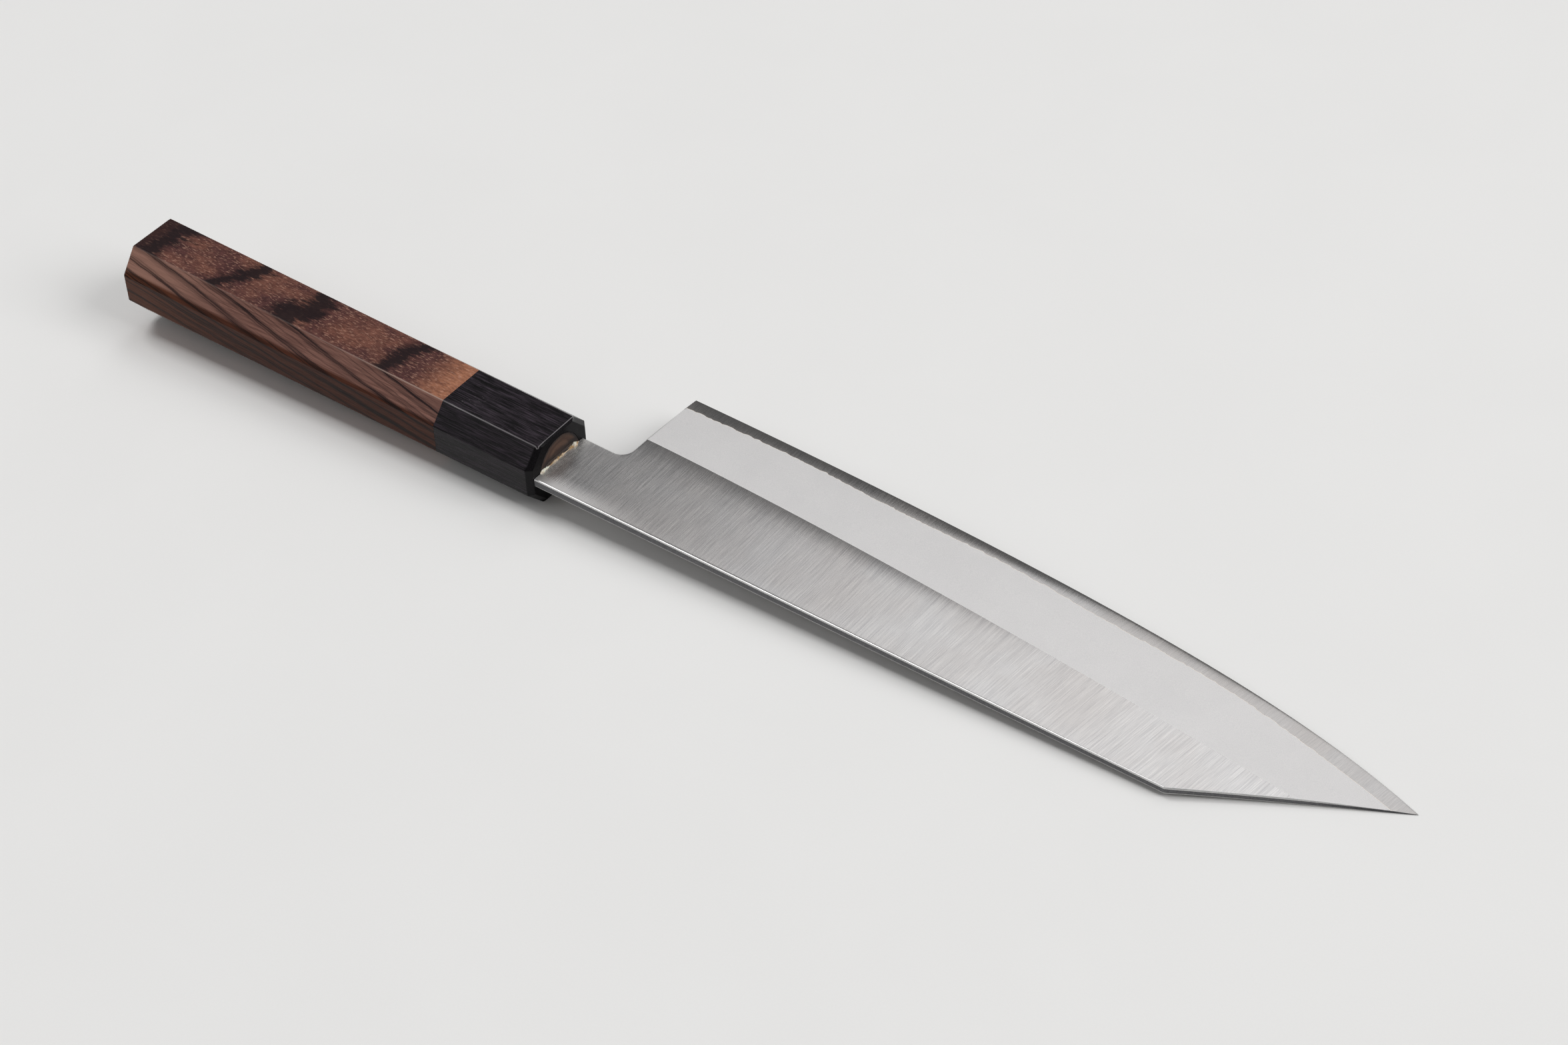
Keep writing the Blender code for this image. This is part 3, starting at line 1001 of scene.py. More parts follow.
@dataclass(frozen=True)
class EndGrain:
    """The dowel's sawn end: brown, with a scorched border where the hot tang went in."""

    name: str = "dowel_end_grain"
    brown: Colour = (0.062, 0.03, 0.02)
    pale: Colour = (0.14, 0.078, 0.05)
    scorch: Colour = (0.012, 0.008, 0.008)
    specular: float = 0.35
    cloud: float = 3.5
    grit: float = 0.22
    fibre: tuple[float, ...] = (0.22, 0.3, 0.5)
    ring_wander: float = 2.2
    ring_pitch: float = 2.9
    ring_levels: Span = (0.35, 0.6)
    border: Span = (5.9, 7.15)
    beside_tang: Span = (4.3, 2.6)
    tang_share: float = 0.85
    burnt_levels: Span = (0.7, 0.4)
    pore_share: float = 0.5
    roughness: float = 0.55
    roughness_swing: float = 0.15
    depth: float = 0.03

    def make(self) -> Material:
        """Build the material.

        Returns:
            The material.
        """
        s = Surface(self.name, Specular_IOR_Level=self.specular)
        place = s.knife_place()
        _, y, z = s.parts(place)
        smudge, grain = s.marks(place, self.cloud, self.grit)
        pores = s.fibre(place, *self.fibre)[1]
        reach = s.math("SQRT", y**2.0 + z**2.0)
        rings = s.math("SINE", smudge * self.ring_wander + reach * self.ring_pitch) * 0.5 + 0.5
        level, swing = self.ring_levels
        tone = s.math("MULTIPLY", rings, grain * swing + level, clamp=True)
        burnt = reach.between(*self.border) | (abs(z).between(*self.beside_tang) * self.tang_share)
        level, swing = self.burnt_levels
        burnt = s.math("MULTIPLY", burnt, smudge * swing + level, clamp=True)
        colour = s.mixed(burnt, s.mixed(tone, self.brown, self.pale), self.scorch)
        return s.finished(
            Base_Color=s.mixed(pores * self.pore_share, colour, self.scorch),
            Roughness=grain * self.roughness_swing + self.roughness,
            Normal=s.bump(grain, self.depth),
        )


@dataclass(frozen=True)
class DriedGlue:
    """Dried glue: creamy where it is thick, amber where it is thin."""

    name: str = "dried_glue"
    cream: Colour = (0.93, 0.88, 0.74)
    amber: Colour = (0.5, 0.3, 0.13)
    scorch: Colour = (0.03, 0.016, 0.012)
    scorched_from: float = math.inf
    scorch_fade: float = 0.15
    scorch_ragged: Span = (0.5, 0.4)
    subsurface: float = 0.15
    subsurface_scale: float = 0.5
    refraction: float = 1.5
    cloud: float = 1.6
    grit: float = 0.3
    thick: Span = (1.25, 1.75)
    blob_y: float = 5.3
    blob_widths: Span = (1.9, 1.2)
    pale_end: Span = (-3.6, -4.6)
    smudge_levels: Span = (0.1, 0.7)
    pale_levels: Span = (0.4, 0.6)
    roughness: float = 0.35
    roughness_swing: float = 0.2
    depth: float = 0.05

    def make(self) -> Material:
        """Build the material.

        Returns:
            The material.
        """
        s = Surface(
            self.name,
            Subsurface_Weight=self.subsurface,
            Subsurface_Scale=self.subsurface_scale * MM,
            IOR=self.refraction,
        )
        place = s.knife_place()
        _, y, z = s.parts(place)
        smudge, grain = s.marks(place, self.cloud, self.grit)
        pale = y.near(self.blob_y, *self.blob_widths) | y.between(*self.pale_end)
        level, swing = self.pale_levels
        tone = smudge.between(*self.smudge_levels) * (pale * swing + level)
        colour = s.mixed(tone | (pale * abs(z).between(*self.thick)), self.amber, self.cream)
        if math.isfinite(self.scorched_from):
            by_grain, by_smudge = self.scorch_ragged
            height = abs(z) + grain * by_grain + smudge * by_smudge
            burnt = height.between(self.scorched_from, self.scorched_from + self.scorch_fade)
            colour = s.mixed(burnt, colour, self.scorch)
        rough = grain * self.roughness_swing + self.roughness
        return s.finished(Base_Color=colour, Roughness=rough, Normal=s.bump(grain, self.depth))


@dataclass(frozen=True)
class PaleTable:
    """A plain pale table top with the faintest tooth."""

    name: str = "pale_table"
    light: Colour = (0.86, 0.855, 0.845)
    dark: Colour = (0.84, 0.835, 0.825)
    specular: float = 0.3
    cloud: float = 60.0
    grit: float = 0.5
    roughness: float = 0.6
    roughness_swing: float = 0.1

    def make(self) -> Material:
        """Build the material.

        Returns:
            The material.
        """
        s = Surface(self.name, Specular_IOR_Level=self.specular)
        place = s.scaled(s.object_place(), 1 / MM, 1 / MM, 1 / MM)
        smudge, grain = s.marks(place, self.cloud, self.grit)
        colour = s.mixed(grain * 0.5 + smudge * 0.5, self.dark, self.light)
        return s.finished(Base_Color=colour, Roughness=grain * self.roughness_swing + self.roughness)


# The blade


@dataclass(frozen=True)
class Rim:
    """A point on the blade's outline, with the way out and how far the corner is eased there."""

    place: Vector
    outward: Vector
    ease: float

    @property
    def inner(self) -> Vector:
        """Where the flat face ends and the easing begins."""
        return self.place - self.outward * self.ease


@dataclass
class Blade:
    """The ground blade of three layers, its tang among them. Sizes are in millimetres."""

    edge_length: float = 209.97
    spine_length: float = 175.5
    spine_height_at_ferrule: float = 9.8
    spine_height_at_corner: float = 9.0
    shoulder_gap: float = 0.1
    neck_below_axis: float = 8.8
    choil_radius: float = 3.5
    choil_centre_x: float = 9.5
    heel_x: float = 13.7
    heel_below_axis: float = 35.8
    tip_below_axis: float = 16.0
    clip_hollow: float = 0.4
    edge_steady_rise: float = 11.0
    edge_tip_power: float = 6.0
    shinogi_below_axis: float = 16.9
    shinogi_rise: float = 12.5
    shinogi_length: float = 186.7
    shinogi_power: float = 1.6
    neck_thickness: float = 2.4
    point_thickness: float = 1.8
    flat_taper: float = 0.003
    core_half: float = 0.315
    reveal_at_heel: float = 3.5
    reveal_at_tip: float = 4.4
    reveal_wave: float = 0.3
    reveal_wave_length: float = 62.0
    scallops: tuple[Span, ...] = ((0.5, 2.1), (0.22, 0.85))
    scallop_row: float = 7.3
    scallop_row_step: float = 3.0
    scallop_shift: float = 0.08
    scallop_fade_at_tip: float = 45.0
    scallop_fade_at_heel: float = 5.0
    fine_bevel_width: float = 0.3
    fine_bevel_half: float = 0.05
    easing: float = 0.35
    easing_margin: float = 0.02
    easing_share: float = 0.6
    crown: float = 1.1
    hollow_at_shinogi: float = 0.35
    hollow_reach: float = 3.6
    hollow_loss: float = 0.85
    hollow_loss_from: float = 60.0
    hollow_loss_length: float = 110.0
    hollow_at_spine: float = 0.07
    spine_reach: float = 2.2
    tang_length: float = 82.0
    tang_width_at_neck: float = 10.5
    tang_width_at_end: float = 6.0
    brushing_tilt: Span = (-1.0, 8.0)
    brushing_tilt_from: float = 70.0
    brushing_tilt_length: float = 100.0
    brushing_pivot_y: float = -5.0
    brushing_shift: float = 40.0
    station: float = 0.33
    cladding_skirt: float = 0.03
    core_skirt: float = 0.04
    halvings: int = 50
    neck_steps: int = 6
    curve_steps: int = 16
    round_steps: int = 4
    flat_rows: tuple[float, ...] = (
        0.0, 0.02, 0.045, 0.075, 0.11, 0.16, 0.23, 0.33, 0.45, 0.57, 0.67, 0.75, 0.825,
    )
    heel_rows: tuple[float, ...] = (0.825, 0.86, 0.89, 0.915, 0.94, 0.96, 0.978, 0.991, 1.0)
    bevel_rows: tuple[float, ...] = (0.0, 0.012, 0.04, 0.1, 0.2, 0.35, 0.5, 0.65, 0.8, 0.92, 0.985, 1.0)
    core_rows: tuple[float, ...] = (0.0, 0.06, 0.2, 0.4, 0.6, 0.8, 0.92, 1.0)

    @property
    def tip_x(self) -> float:
        """Where the tip is."""
        return self.heel_x + self.edge_length

    def spine_y(self, x: float) -> float:
        """The straight spine."""
        share = x / self.spine_length
        return -blend(self.spine_height_at_ferrule, self.spine_height_at_corner, share)

    def edge_share(self, x: float) -> float:
        """0 at the heel and 1 at the tip."""
        return max(0.0, (x - self.heel_x) / self.edge_length)

    def edge_y(self, x: float) -> float:
        """The cutting edge.

        Args:
            x: Place along the blade.

        Returns:
            Its height there, below the axis.
        """
        share = self.edge_share(x)
        quick = self.heel_below_axis - self.tip_below_axis - self.edge_steady_rise
        return self.heel_below_axis - self.edge_steady_rise * share**2 - quick * share**self.edge_tip_power

    def shinogi_y(self, x: float) -> float:
        """The ridge between the flat and the wide bevel."""
        share = max(0.0, (x - self.heel_x) / self.shinogi_length)
        return self.shinogi_below_axis - self.shinogi_rise * share**self.shinogi_power

    def reveal(self, x: float) -> float:
        """How wide the core shows, apart from its scallops.

        Args:
            x: Place along the blade.

        Returns:
            The width.
        """
        wave = math.cos(2 * math.pi * (x - self.heel_x) / self.reveal_wave_length)
        steady = blend(self.reveal_at_heel, self.reveal_at_tip, self.edge_share(x) ** 3)
        return steady + self.reveal_wave * wave

    def weld_y(self, x: float, side: Side) -> float:
        """The scalloped line where the cladding ends and the core shows.

        Args:
            x: Place along the blade.
            side: Which face.

        Returns:
            The line's height there.
        """
        scallops = -self.scallop_shift
        for i, (size, length) in enumerate(self.scallops):
            row = self.scallop_row * side.value + self.scallop_row_step * i
            scallops += size * abs(ragged(x, length, row))
        fade = eased((self.tip_x - x) / self.scallop_fade_at_tip)
        fade *= eased((x - self.heel_x + 1) / self.scallop_fade_at_heel)
        return self.edge_y(x) - self.reveal(x) + scallops * fade

    def flat_z(self, x: float, y: float) -> float:
        """Height of the flat, which the belt has dished a little between its borders.

        Args:
            x: Place along the blade.
            y: Place across it.

        Returns:
            The height over the blade's middle plane.
        """
        spine, shinogi = self.spine_y(x), self.shinogi_y(x)
        at_spine = blend(self.neck_thickness, self.point_thickness, max(0.0, x) / self.tip_x) / 2
        plane = at_spine - self.flat_taper * (y - spine)
        fade = 1 - self.hollow_loss * eased((x - self.hollow_loss_from) / self.hollow_loss_length)
        width, drop = shinogi - spine, shinogi - y
        back_up = drop / width * (1 - math.exp(-width / self.hollow_reach))
        ridge = self.hollow_at_shinogi * fade * (math.exp(-drop / self.hollow_reach) - 1 + back_up)
        return plane + ridge + self.hollow_at_spine * (math.exp((spine - y) / self.spine_reach) - 1)

    def surface_z(self, place: Vector) -> float:
        """Height of the ground left face.

        Args:
            place: Place along and across the blade.

        Returns:
            The height over the blade's middle plane.
        """
        x, y = place.x, place.y
        shinogi, edge = self.shinogi_y(x), self.edge_y(x)
        if y <= shinogi:
            return self.flat_z(x, y)
        drop = edge - y
        if drop <= self.fine_bevel_width:
            return max(0.0, self.fine_bevel_half * drop / self.fine_bevel_width)
        reveal = self.reveal(x)
        run, rise = edge - shinogi - reveal, self.flat_z(x, shinogi) - self.core_half
        slope = self.crown * rise / run
        past = drop - reveal
        if past >= 0:
            return self.core_half + slope * past + (rise - slope * run) * (past / run) ** 2
        run = reveal - self.fine_bevel_width
        fall = self.core_half - self.fine_bevel_half - slope * run
        return self.core_half + slope * past - fall * (past / run) ** 2

    def rim(self, place: Vector, outward: Vector) -> Rim:
        """A rim point, eased as far as the cladding is thick enough for it."""
        spare = self.surface_z(place) - self.core_half - self.easing_margin
        return Rim(place, outward, min(self.easing, max(0.0, spare * self.easing_share)))

    def clip_place(self, share: float) -> Vector:
        """Find a point on the hollowed clip.

        Args:
            share: 0 at the spine's corner and 1 at the tip.

        Returns:
            The place.
        """
        corner = Vector((self.spine_length, self.spine_y(self.spine_length)))
        tip = Vector((self.tip_x, self.tip_below_axis))
        along = (tip - corner).normalized()
        inward = Vector((-along.y, along.x))
        return corner.lerp(tip, share) + inward * self.clip_hollow * 4 * share * (1 - share)

    def clip_rim(self, share: float) -> Rim:
        """Find a rim point on the clip.

        Args:
            share: 0 at the spine's corner, whose way out lies between both sides', and 1 at the tip.

        Returns:
            The rim point.
        """
        step = 1e-3
        along = self.clip_place(share + step) - self.clip_place(share - step)
        outward = Vector((along.y, -along.x)).normalized()
        if share <= 0:
            outward += Vector((0, -1))
            outward *= 2 / outward.length_squared
        return self.rim(self.clip_place(share), outward)

    def clip_meets(self, line: Callable[[float], float]) -> float:
        """Find where the clip crosses a line.

        Args:
            line: The line as y of x.

        Returns:
            The clip's share there.
        """
        low, high = 0.0, 1.0
        for _ in range(self.halvings):
            middle = (low + high) / 2
            place = self.clip_rim(middle).inner
            low, high = (middle, high) if place.y < line(place.x) else (low, middle)
        return low

    def heel_rim(self, y: float) -> Rim:
        """Find a rim point on the back of the heel.

        Args:
            y: Its height.

        Returns:
            The rim point.
        """
        top = Vector((self.choil_centre_x + self.choil_radius, self.neck_below_axis + self.choil_radius))
        back = Vector((self.heel_x, self.heel_below_axis)) - top
        outward = Vector((-back.y, back.x)).normalized()
        return self.rim(top + back * (y - top.y) / back.y, outward)

    def neck_rims(self) -> list[Rim]:
        """Follow the neck's lower side and the choil to where the heel's back begins.

        Returns:
            The rim points.
        """
        straight = spread(self.shoulder_gap, self.choil_centre_x, self.neck_steps)[:-1]
        rims = [self.rim(Vector((x, self.neck_below_axis)), Vector((0, 1))) for x in straight]
        centre = Vector((self.choil_centre_x, self.neck_below_axis + self.choil_radius))
        for inward in turned_ways(270, 360, self.curve_steps):
            rims.append(self.rim(centre + inward * self.choil_radius, -inward))
        return rims

    def spine_rims(self, places: Sequence[float]) -> list[Rim]:
        """Rim points on the spine at given places along it."""
        return [self.rim(Vector((x, self.spine_y(x))), Vector((0, -1))) for x in places]

    def flat_column(self, x: float, top: float, low: float) -> list[Vector]:
        """Points down the flat at x, in its rows, from one height to another."""
        return [Vector((x, blend(top, low, row / self.flat_rows[-1]))) for row in self.flat_rows]

    def lines(self, side: Side) -> dict[str, list]:
        """Every rim and inner line of one face, with matching point counts.

        Args:
            side: Which face, as the weld lines differ.

        Returns:
            The lines by name. Names ending in rims are rim points, and the others plain points.
        """
        neck = self.neck_rims()
        joint = neck[-1].inner
        count = round((self.spine_length - joint.x) / self.station)
        top_y, low_y = self.spine_y(0) + self.easing, self.shinogi_below_axis
        heel = [neck[-1], *(self.heel_rim(blend(top_y, low_y, row)) for row in self.heel_rows[1:])]
        weld_y = self.weld_y(self.heel_x, side)
        bevel = [self.heel_rim(blend(low_y, weld_y, row)) for row in self.bevel_rows]
        ridge_end = self.clip_meets(self.shinogi_y)
        weld_end = self.clip_meets(lambda x: self.weld_y(x, side))
        clip_flat = [self.clip_rim(ridge_end * row) for row in (*self.flat_rows, *self.heel_rows[1:])]
        clip_bevel = [self.clip_rim(blend(ridge_end, weld_end, row)) for row in self.bevel_rows]
        start, end = bevel[-1].inner, clip_bevel[-1].inner
        weld = [Vector((x, self.weld_y(x, side))) for x in spread(start.x, end.x, count)]
        ridge_xs = spread(heel[-1].inner.x, clip_flat[-1].inner.x, count)
        column = self.flat_column(joint.x, top_y, joint.y)
        return {
            "neck_rims": neck,
            "neck_spine_rims": self.spine_rims(spread(self.shoulder_gap, joint.x, len(neck) - 1)),
            "spine_rims": [
                *self.spine_rims(spread(joint.x, self.spine_length, count)[:-1]),
                self.clip_rim(0),
            ],
            "heel_rims": heel,
            "bevel_heel_rims": bevel,
            "clip_flat_rims": clip_flat,
            "clip_bevel_rims": clip_bevel,
            "clip_core_rims": [self.clip_rim(blend(weld_end, 1.0, row)) for row in self.core_rows],
            "column": [self.spine_rims([joint.x])[0].inner, *column[1:-1], joint],
            "ridge": [Vector((x, self.shinogi_y(x))) for x in ridge_xs],
            "weld": [start, *weld[1:-1], end],
        }

    def easing_sheet(self, bm: BMesh, rims: Sequence[Rim]) -> None:
        """Roll the face over the outline and run it down to the weld.

        Args:
            bm: The bmesh that gets it.
            rims: The outline's points.
        """
        rows: Rows = []
        for turn in spread(0, math.pi / 2, self.round_steps):
            row = []
            for rim in rims:
                flat = rim.place - rim.outward * rim.ease * (1 - math.sin(turn))
                height = self.surface_z(rim.inner) - rim.ease * (1 - math.cos(turn))
                row += lifted([flat], max(height, self.core_half))
            rows.append(row)
        sheet(bm, rows, Coat.RIM)
        weld = lifted([rim.place for rim in rims], self.core_half)
        if any((top - low).length > MERGE for top, low in zip(rows[-1], weld)):
            sheet(bm, [rows[-1], weld], Coat.WALL)

    def weld_skirt(self, bm: BMesh, weld: Sequence[Vector], depth: float, material: int) -> None:
        """Sink a layer's border at the weld, so that its hidden face stays below the ground one.

        Args:
            bm: The bmesh that gets the strip.
            weld: The weld line.
            depth: How far the strip ends below the lower of the ground surface and the core's face.
            material: Material index of the faces.
        """
        top = lifted(weld, self.surface_z)
        low = lifted(top, lambda place: min(self.core_half, place.z) - depth)
        sheet(bm, [top, low], material)

    def map_face(self, bm: BMesh, side: Side) -> None:
        """Draw the brushing map and the weld map.

        Brushing has the belt's lines along its second part, square to the shinogi. Weld has the
        distance above the weld line as its second part.

        Args:
            bm: The bmesh, still in the knife's axes.
            side: Which face.
        """
        brushing = bm.loops.layers.uv.new(BRUSHING_MAP)
        weld = bm.loops.layers.uv.new(WELD_MAP)
        shift = self.brushing_shift * side.value
        for face in bm.faces:
            for loop in face.loops:
                x, y, z = loop.vert.co
                turned = eased((x - self.brushing_tilt_from) / self.brushing_tilt_length)
                slope = math.tan(math.radians(blend(*self.brushing_tilt, turned)))
                loop[brushing].uv = (x - slope * (y - self.brushing_pivot_y) + shift, y + z)
                loop[weld].uv = (x, self.weld_y(x, side) - y)

    def cladding(self, side: Side, materials: Sequence[Material]) -> None:
        """Build one outer layer.

        Args:
            side: Which face.
            materials: Flat, bevel, eased rim and wall under it.
        """
        bm = bmesh.new()
        found = self.lines(side)
        inner = {name: [rim.inner for rim in found[name]] for name in OUTLINE}
        top, low = inner["neck_spine_rims"], inner["neck_rims"]
        start = self.flat_column(self.shoulder_gap, top[0].y, low[0].y)
        patch(bm, (top, low, start, found["column"]), self.surface_z, Coat.FLAT)
        back = [*found["column"], *inner["heel_rims"][1:]]
        sides = (inner["spine_rims"], found["ridge"], back, inner["clip_flat_rims"])
        patch(bm, sides, self.surface_z, Coat.FLAT)
        sides = (found["ridge"], found["weld"], inner["bevel_heel_rims"], inner["clip_bevel_rims"])
        patch(bm, sides, self.surface_z, Coat.BEVEL)
        self.weld_skirt(bm, found["weld"], self.cladding_skirt, Coat.WALL)
        for name in OUTLINE:
            self.easing_sheet(bm, found[name])
        bmesh.ops.remove_doubles(bm, verts=bm.verts, dist=MERGE)
        self.map_face(bm, side)
        if side is Side.RIGHT:
            bmesh.ops.scale(bm, vec=(1, 1, -1), verts=bm.verts)
        name = f"{side.name.lower()}_cladding"
        piece(f"{name}_steel", bm, materials, [name])

    def tang_places(self) -> list[Vector]:
        """Follow the tang's outline round its end.

        Returns:
            The places from the spine side of the shoulder to its edge side.
        """
        end_half, root_half = self.tang_width_at_end / 2, self.tang_width_at_neck / 2
        gap = self.shoulder_gap
        centre = Vector((end_half - self.tang_length, 0))
        return [
            Vector((gap, self.spine_y(0))),
            Vector((gap, -root_half)),
            Vector((0, -root_half)),
            *(centre + way * end_half for way in turned_ways(270, 90, self.curve_steps)),
            Vector((0, root_half)),
            Vector((gap, root_half)),
            Vector((gap, self.neck_below_axis)),
        ]

    def core(self, materials: Sequence[Material]) -> None:
        """Build the middle layer with the edge and the tang.

        Args:
            materials: The honed strip and the walls.
        """
        honed, wall = range(2)
        bm = bmesh.new()
        for side in Side:
            found = self.lines(side)
            weld = found["weld"]
            edge = [Vector((x, self.edge_y(x))) for x in spread(self.heel_x, self.tip_x, len(weld) - 1)]
            back = [weld[0].lerp(edge[0], row) for row in self.core_rows]
            front = [weld[-1], *(rim.place for rim in found["clip_core_rims"][1:])]
            before = len(bm.verts)
            patch(bm, (weld, edge, back, front), self.surface_z, honed)
            self.weld_skirt(bm, weld, self.core_skirt, wall)
            bm.verts.ensure_lookup_table()
            bmesh.ops.scale(bm, vec=(1, 1, side.value), verts=bm.verts[before:])
            outline = [[rim.place for rim in found[name]] for name in OUTLINE]
            for places in (*outline, self.tang_places()):
                sheet(bm, [lifted(places, self.core_half * side.value), lifted(places, 0.0)], wall)
            for places in (back, front):
                top = lifted(places, lambda place: self.surface_z(place) * side.value)
                sheet(bm, [top, lifted(places, 0.0)], wall)
        bmesh.ops.remove_doubles(bm, verts=bm.verts, dist=MERGE)
        self.map_face(bm, Side.LEFT)
        piece("core_blade", bm, materials, ["core_steel"])

    def build(self) -> None:
        """Build and dress all three layers."""
        flat = BeltedSteel("cross_brushed_steel").make()
        misted = MistedSteel().make()
        eased_rim = PlainSteel("eased_steel").make()
        # Painted shade: the spine, the other walls and the hidden faces get a steel colour far darker than
        # the rest of the blade.
        wall = PlainSteel(
            "spine_steel_painted_shade",
            light=(0.15, 0.15, 0.155),
            dark=(0.09, 0.09, 0.095),
            roughness=0.38,
        ).make()
        honed = BeltedSteel(
            "honed_core_steel",
            light=(0.41, 0.4, 0.395),
            dark=(0.31, 0.305, 0.305),
            roughness=0.13,
            anisotropy=0.6,
            spacing=0.2,
            length=4.0,
        ).make()
        for side in Side:
            self.cladding(side, (flat, misted, eased_rim, wall))
        self.core((honed, wall))


# The handle


@dataclass
class Handle:
    """Octagonal ferrule and grip on one dowel. Sizes are in millimetres."""

    length: float = 134.0
    ferrule_length: float = 30.0
    front_height: float = 22.3
    front_thickness: float = 17.7
    butt_height: float = 23.4
    butt_thickness: float = 20.9
    broad_facet: float = 13.4
    narrow_facet: float = 7.9
    corner_round: float = 0.35
    corner_steps: int = 4
    facet_points: int = 5
    bore_radius: float = 7.3
    bore_depth: float = 98.0
    joint_gap: float = 0.02
    butt_chamfer: float = 0.6
    butt_border: float = 1.5
    top_chamfer: float = 0.6
    slant_chamfer: float = 1.15
    side_chamfer: float = 1.3
    line_softness: float = 0.12
    bend_near: float = 0.25
    bend_far: float = 0.9
    bend_end: float = 0.7
    butt_bend: float = 0.3
    plain_end: float = 2.0
    ferrule_rings: int = 6
    grip_rings: int = 10
    plug_scorched_from: float = 1.75

    def facet_lines(self, x: float) -> list[tuple[Vector, float]]:
        """Find the facets in the YZ plane at x.

        Args:
            x: Place along the axis.

        Returns:
            Each facet's normal and its distance from the axis.
        """
        share = -x / self.length
        half_height = blend(self.front_height, self.butt_height, share) / 2
        half_thickness = blend(self.front_thickness, self.butt_thickness, share) / 2
        broad, narrow = self.broad_facet / 2, self.narrow_facet / 2
        slant = Vector((half_thickness - narrow, half_height - broad)).normalized()
        reach = slant.x * broad + slant.y * half_thickness
        lines = []
        for facet in Facet:
            y_sign, z_sign = facet.value
            if y_sign and z_sign:
                lines.append((Vector((slant.x * y_sign, slant.y * z_sign)), reach))
            elif z_sign:
                lines.append((Vector((0, z_sign)), half_thickness))
            else:
                lines.append((Vector((y_sign, 0)), half_height))
        return lines

    @staticmethod
    def crossing(first: tuple[Vector, float], second: tuple[Vector, float]) -> Vector:
        """Find where two lines in the YZ plane cross.

        Args:
            first: One line's normal and its distance from the axis.
            second: The other's.

        Returns:
            The place.
        """
        (n, d), (m, e) = first, second
        turn = n.x * m.y - n.y * m.x
        return Vector(((d * m.y - e * n.y) / turn, (e * n.x - d * m.x) / turn))

    def ring(self, x: float, inset: PerFacet = 0.0, depth: PerFacet = 0.0) -> list[Vector]:
        """The handle's section at x, its corners rounded.

        Args:
            x: Place along the axis.
            inset: How far the facets are moved in, all alike or each on its own.
            depth: How far back the facets' parts of the ring lie from x, likewise.

        Returns:
            Points in order round the handle.
        """
        count, radius = len(Facet), self.corner_round
        insets, depths = ([own] * count if isinstance(own, float) else own for own in (inset, depth))
        lines = [(n, d - own) for (n, d), own in zip(self.facet_lines(x), insets)]
        shrunk = [(n, d - radius) for n, d in lines]
        centres = [self.crossing(shrunk[i - 1], shrunk[i]) for i in range(count)]
        points = []
        for i, (normal, _) in enumerate(lines):
            before = lines[i - 1][0]
            first, last = centres[i], centres[(i + 1) % count]
            for step in range(self.corner_steps):
                share = step / self.corner_steps
                place = first + (before * (1 - share) + normal * share).normalized() * radius
                back = blend(depths[i - 1], depths[i], (1 + share) / 2)
                points.append(Vector((x - back, place.x, place.y)))
            for step in range(self.facet_points + 1):
                place = first.lerp(last, step / (self.facet_points + 1)) + normal * radius
                points.append(Vector((x - depths[i], place.x, place.y)))
        return points

    def circle(self, x: float, like: Sequence[Vector]) -> list[Vector]:
        """The dowel's bore at x, its points in line with those of another ring."""
        ways = [Vector((point.y, point.z)).normalized() * self.bore_radius for point in like]
        return [Vector((x, way.x, way.y)) for way in ways]

    def ferrule(self, material: Material) -> None:
        """Build the black ferrule with its hand-filed front chamfer.

        Args:
            material: Its material.
        """
        sizes = {(0, 1): self.top_chamfer, (1, 1): self.slant_chamfer, (1, 0): self.side_chamfer}
        depths = [sizes[abs(facet.value[0]), abs(facet.value[1])] for facet in Facet]
        back, soft = -self.ferrule_length, self.line_softness
        rings = [self.ring(x) for x in spread(back, -self.plain_end, self.ferrule_rings)]
        for inset, shift in ((0.0, soft), (soft * self.bend_near, 0.0), (soft * self.bend_far, -soft)):
            rings.append(self.ring(0.0, inset, [depth + shift for depth in depths]))
        rings.append(self.ring(0.0, [depth - soft for depth in depths], soft * self.bend_end))
        rings.append(self.ring(0.0, depths))
        rings += [self.circle(x, rings[-1]) for x in (0.0, back)]
        bm = bmesh.new()
        loft(bm, [*rings, rings[0]], caps=False)
        piece("black_ferrule", bm, [material], ["ferrule"])

    def grip(self, material: Material) -> None:
        """Build the wooden grip, bored for the dowel and chamfered at the butt.

        Args:
            material: Its material.
        """
        front, butt = -self.ferrule_length - self.joint_gap, -self.length
        chamfer, soft = self.butt_chamfer, self.line_softness
        rings = [self.circle(x, self.ring(front)) for x in (-self.bore_depth, front)]
        rings += [self.ring(x) for x in spread(front, butt + self.plain_end, self.grip_rings)]
        border = (
            (chamfer + soft, 0.0),
            (chamfer, soft * self.butt_bend),
            (chamfer - soft, soft),
            (soft * self.bend_end, chamfer - soft),
            (0.0, chamfer),
            (0.0, chamfer + self.butt_border),
        )
        rings += [self.ring(butt + back, inset) for back, inset in border]
        bm = bmesh.new()
        loft(bm, rings)
        piece("rosewood_grip", bm, [material], ["handle_body"])

    def build(self) -> None:
        """Build and dress the handle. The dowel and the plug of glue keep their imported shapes."""
        self.ferrule(BlackWood().make())
        self.grip(Rosewood().make())
        plug = DriedGlue("glue_plug", scorched_from=self.plug_scorched_from)
        for node, finish in (("dowel", EndGrain()), ("tang_adhesive", plug)):
            packed = frame["nodes"][node]
            packed.data.materials.clear()
            packed.data.materials.append(finish.make())
            LOG.info("%s: packed shape, new material", node)


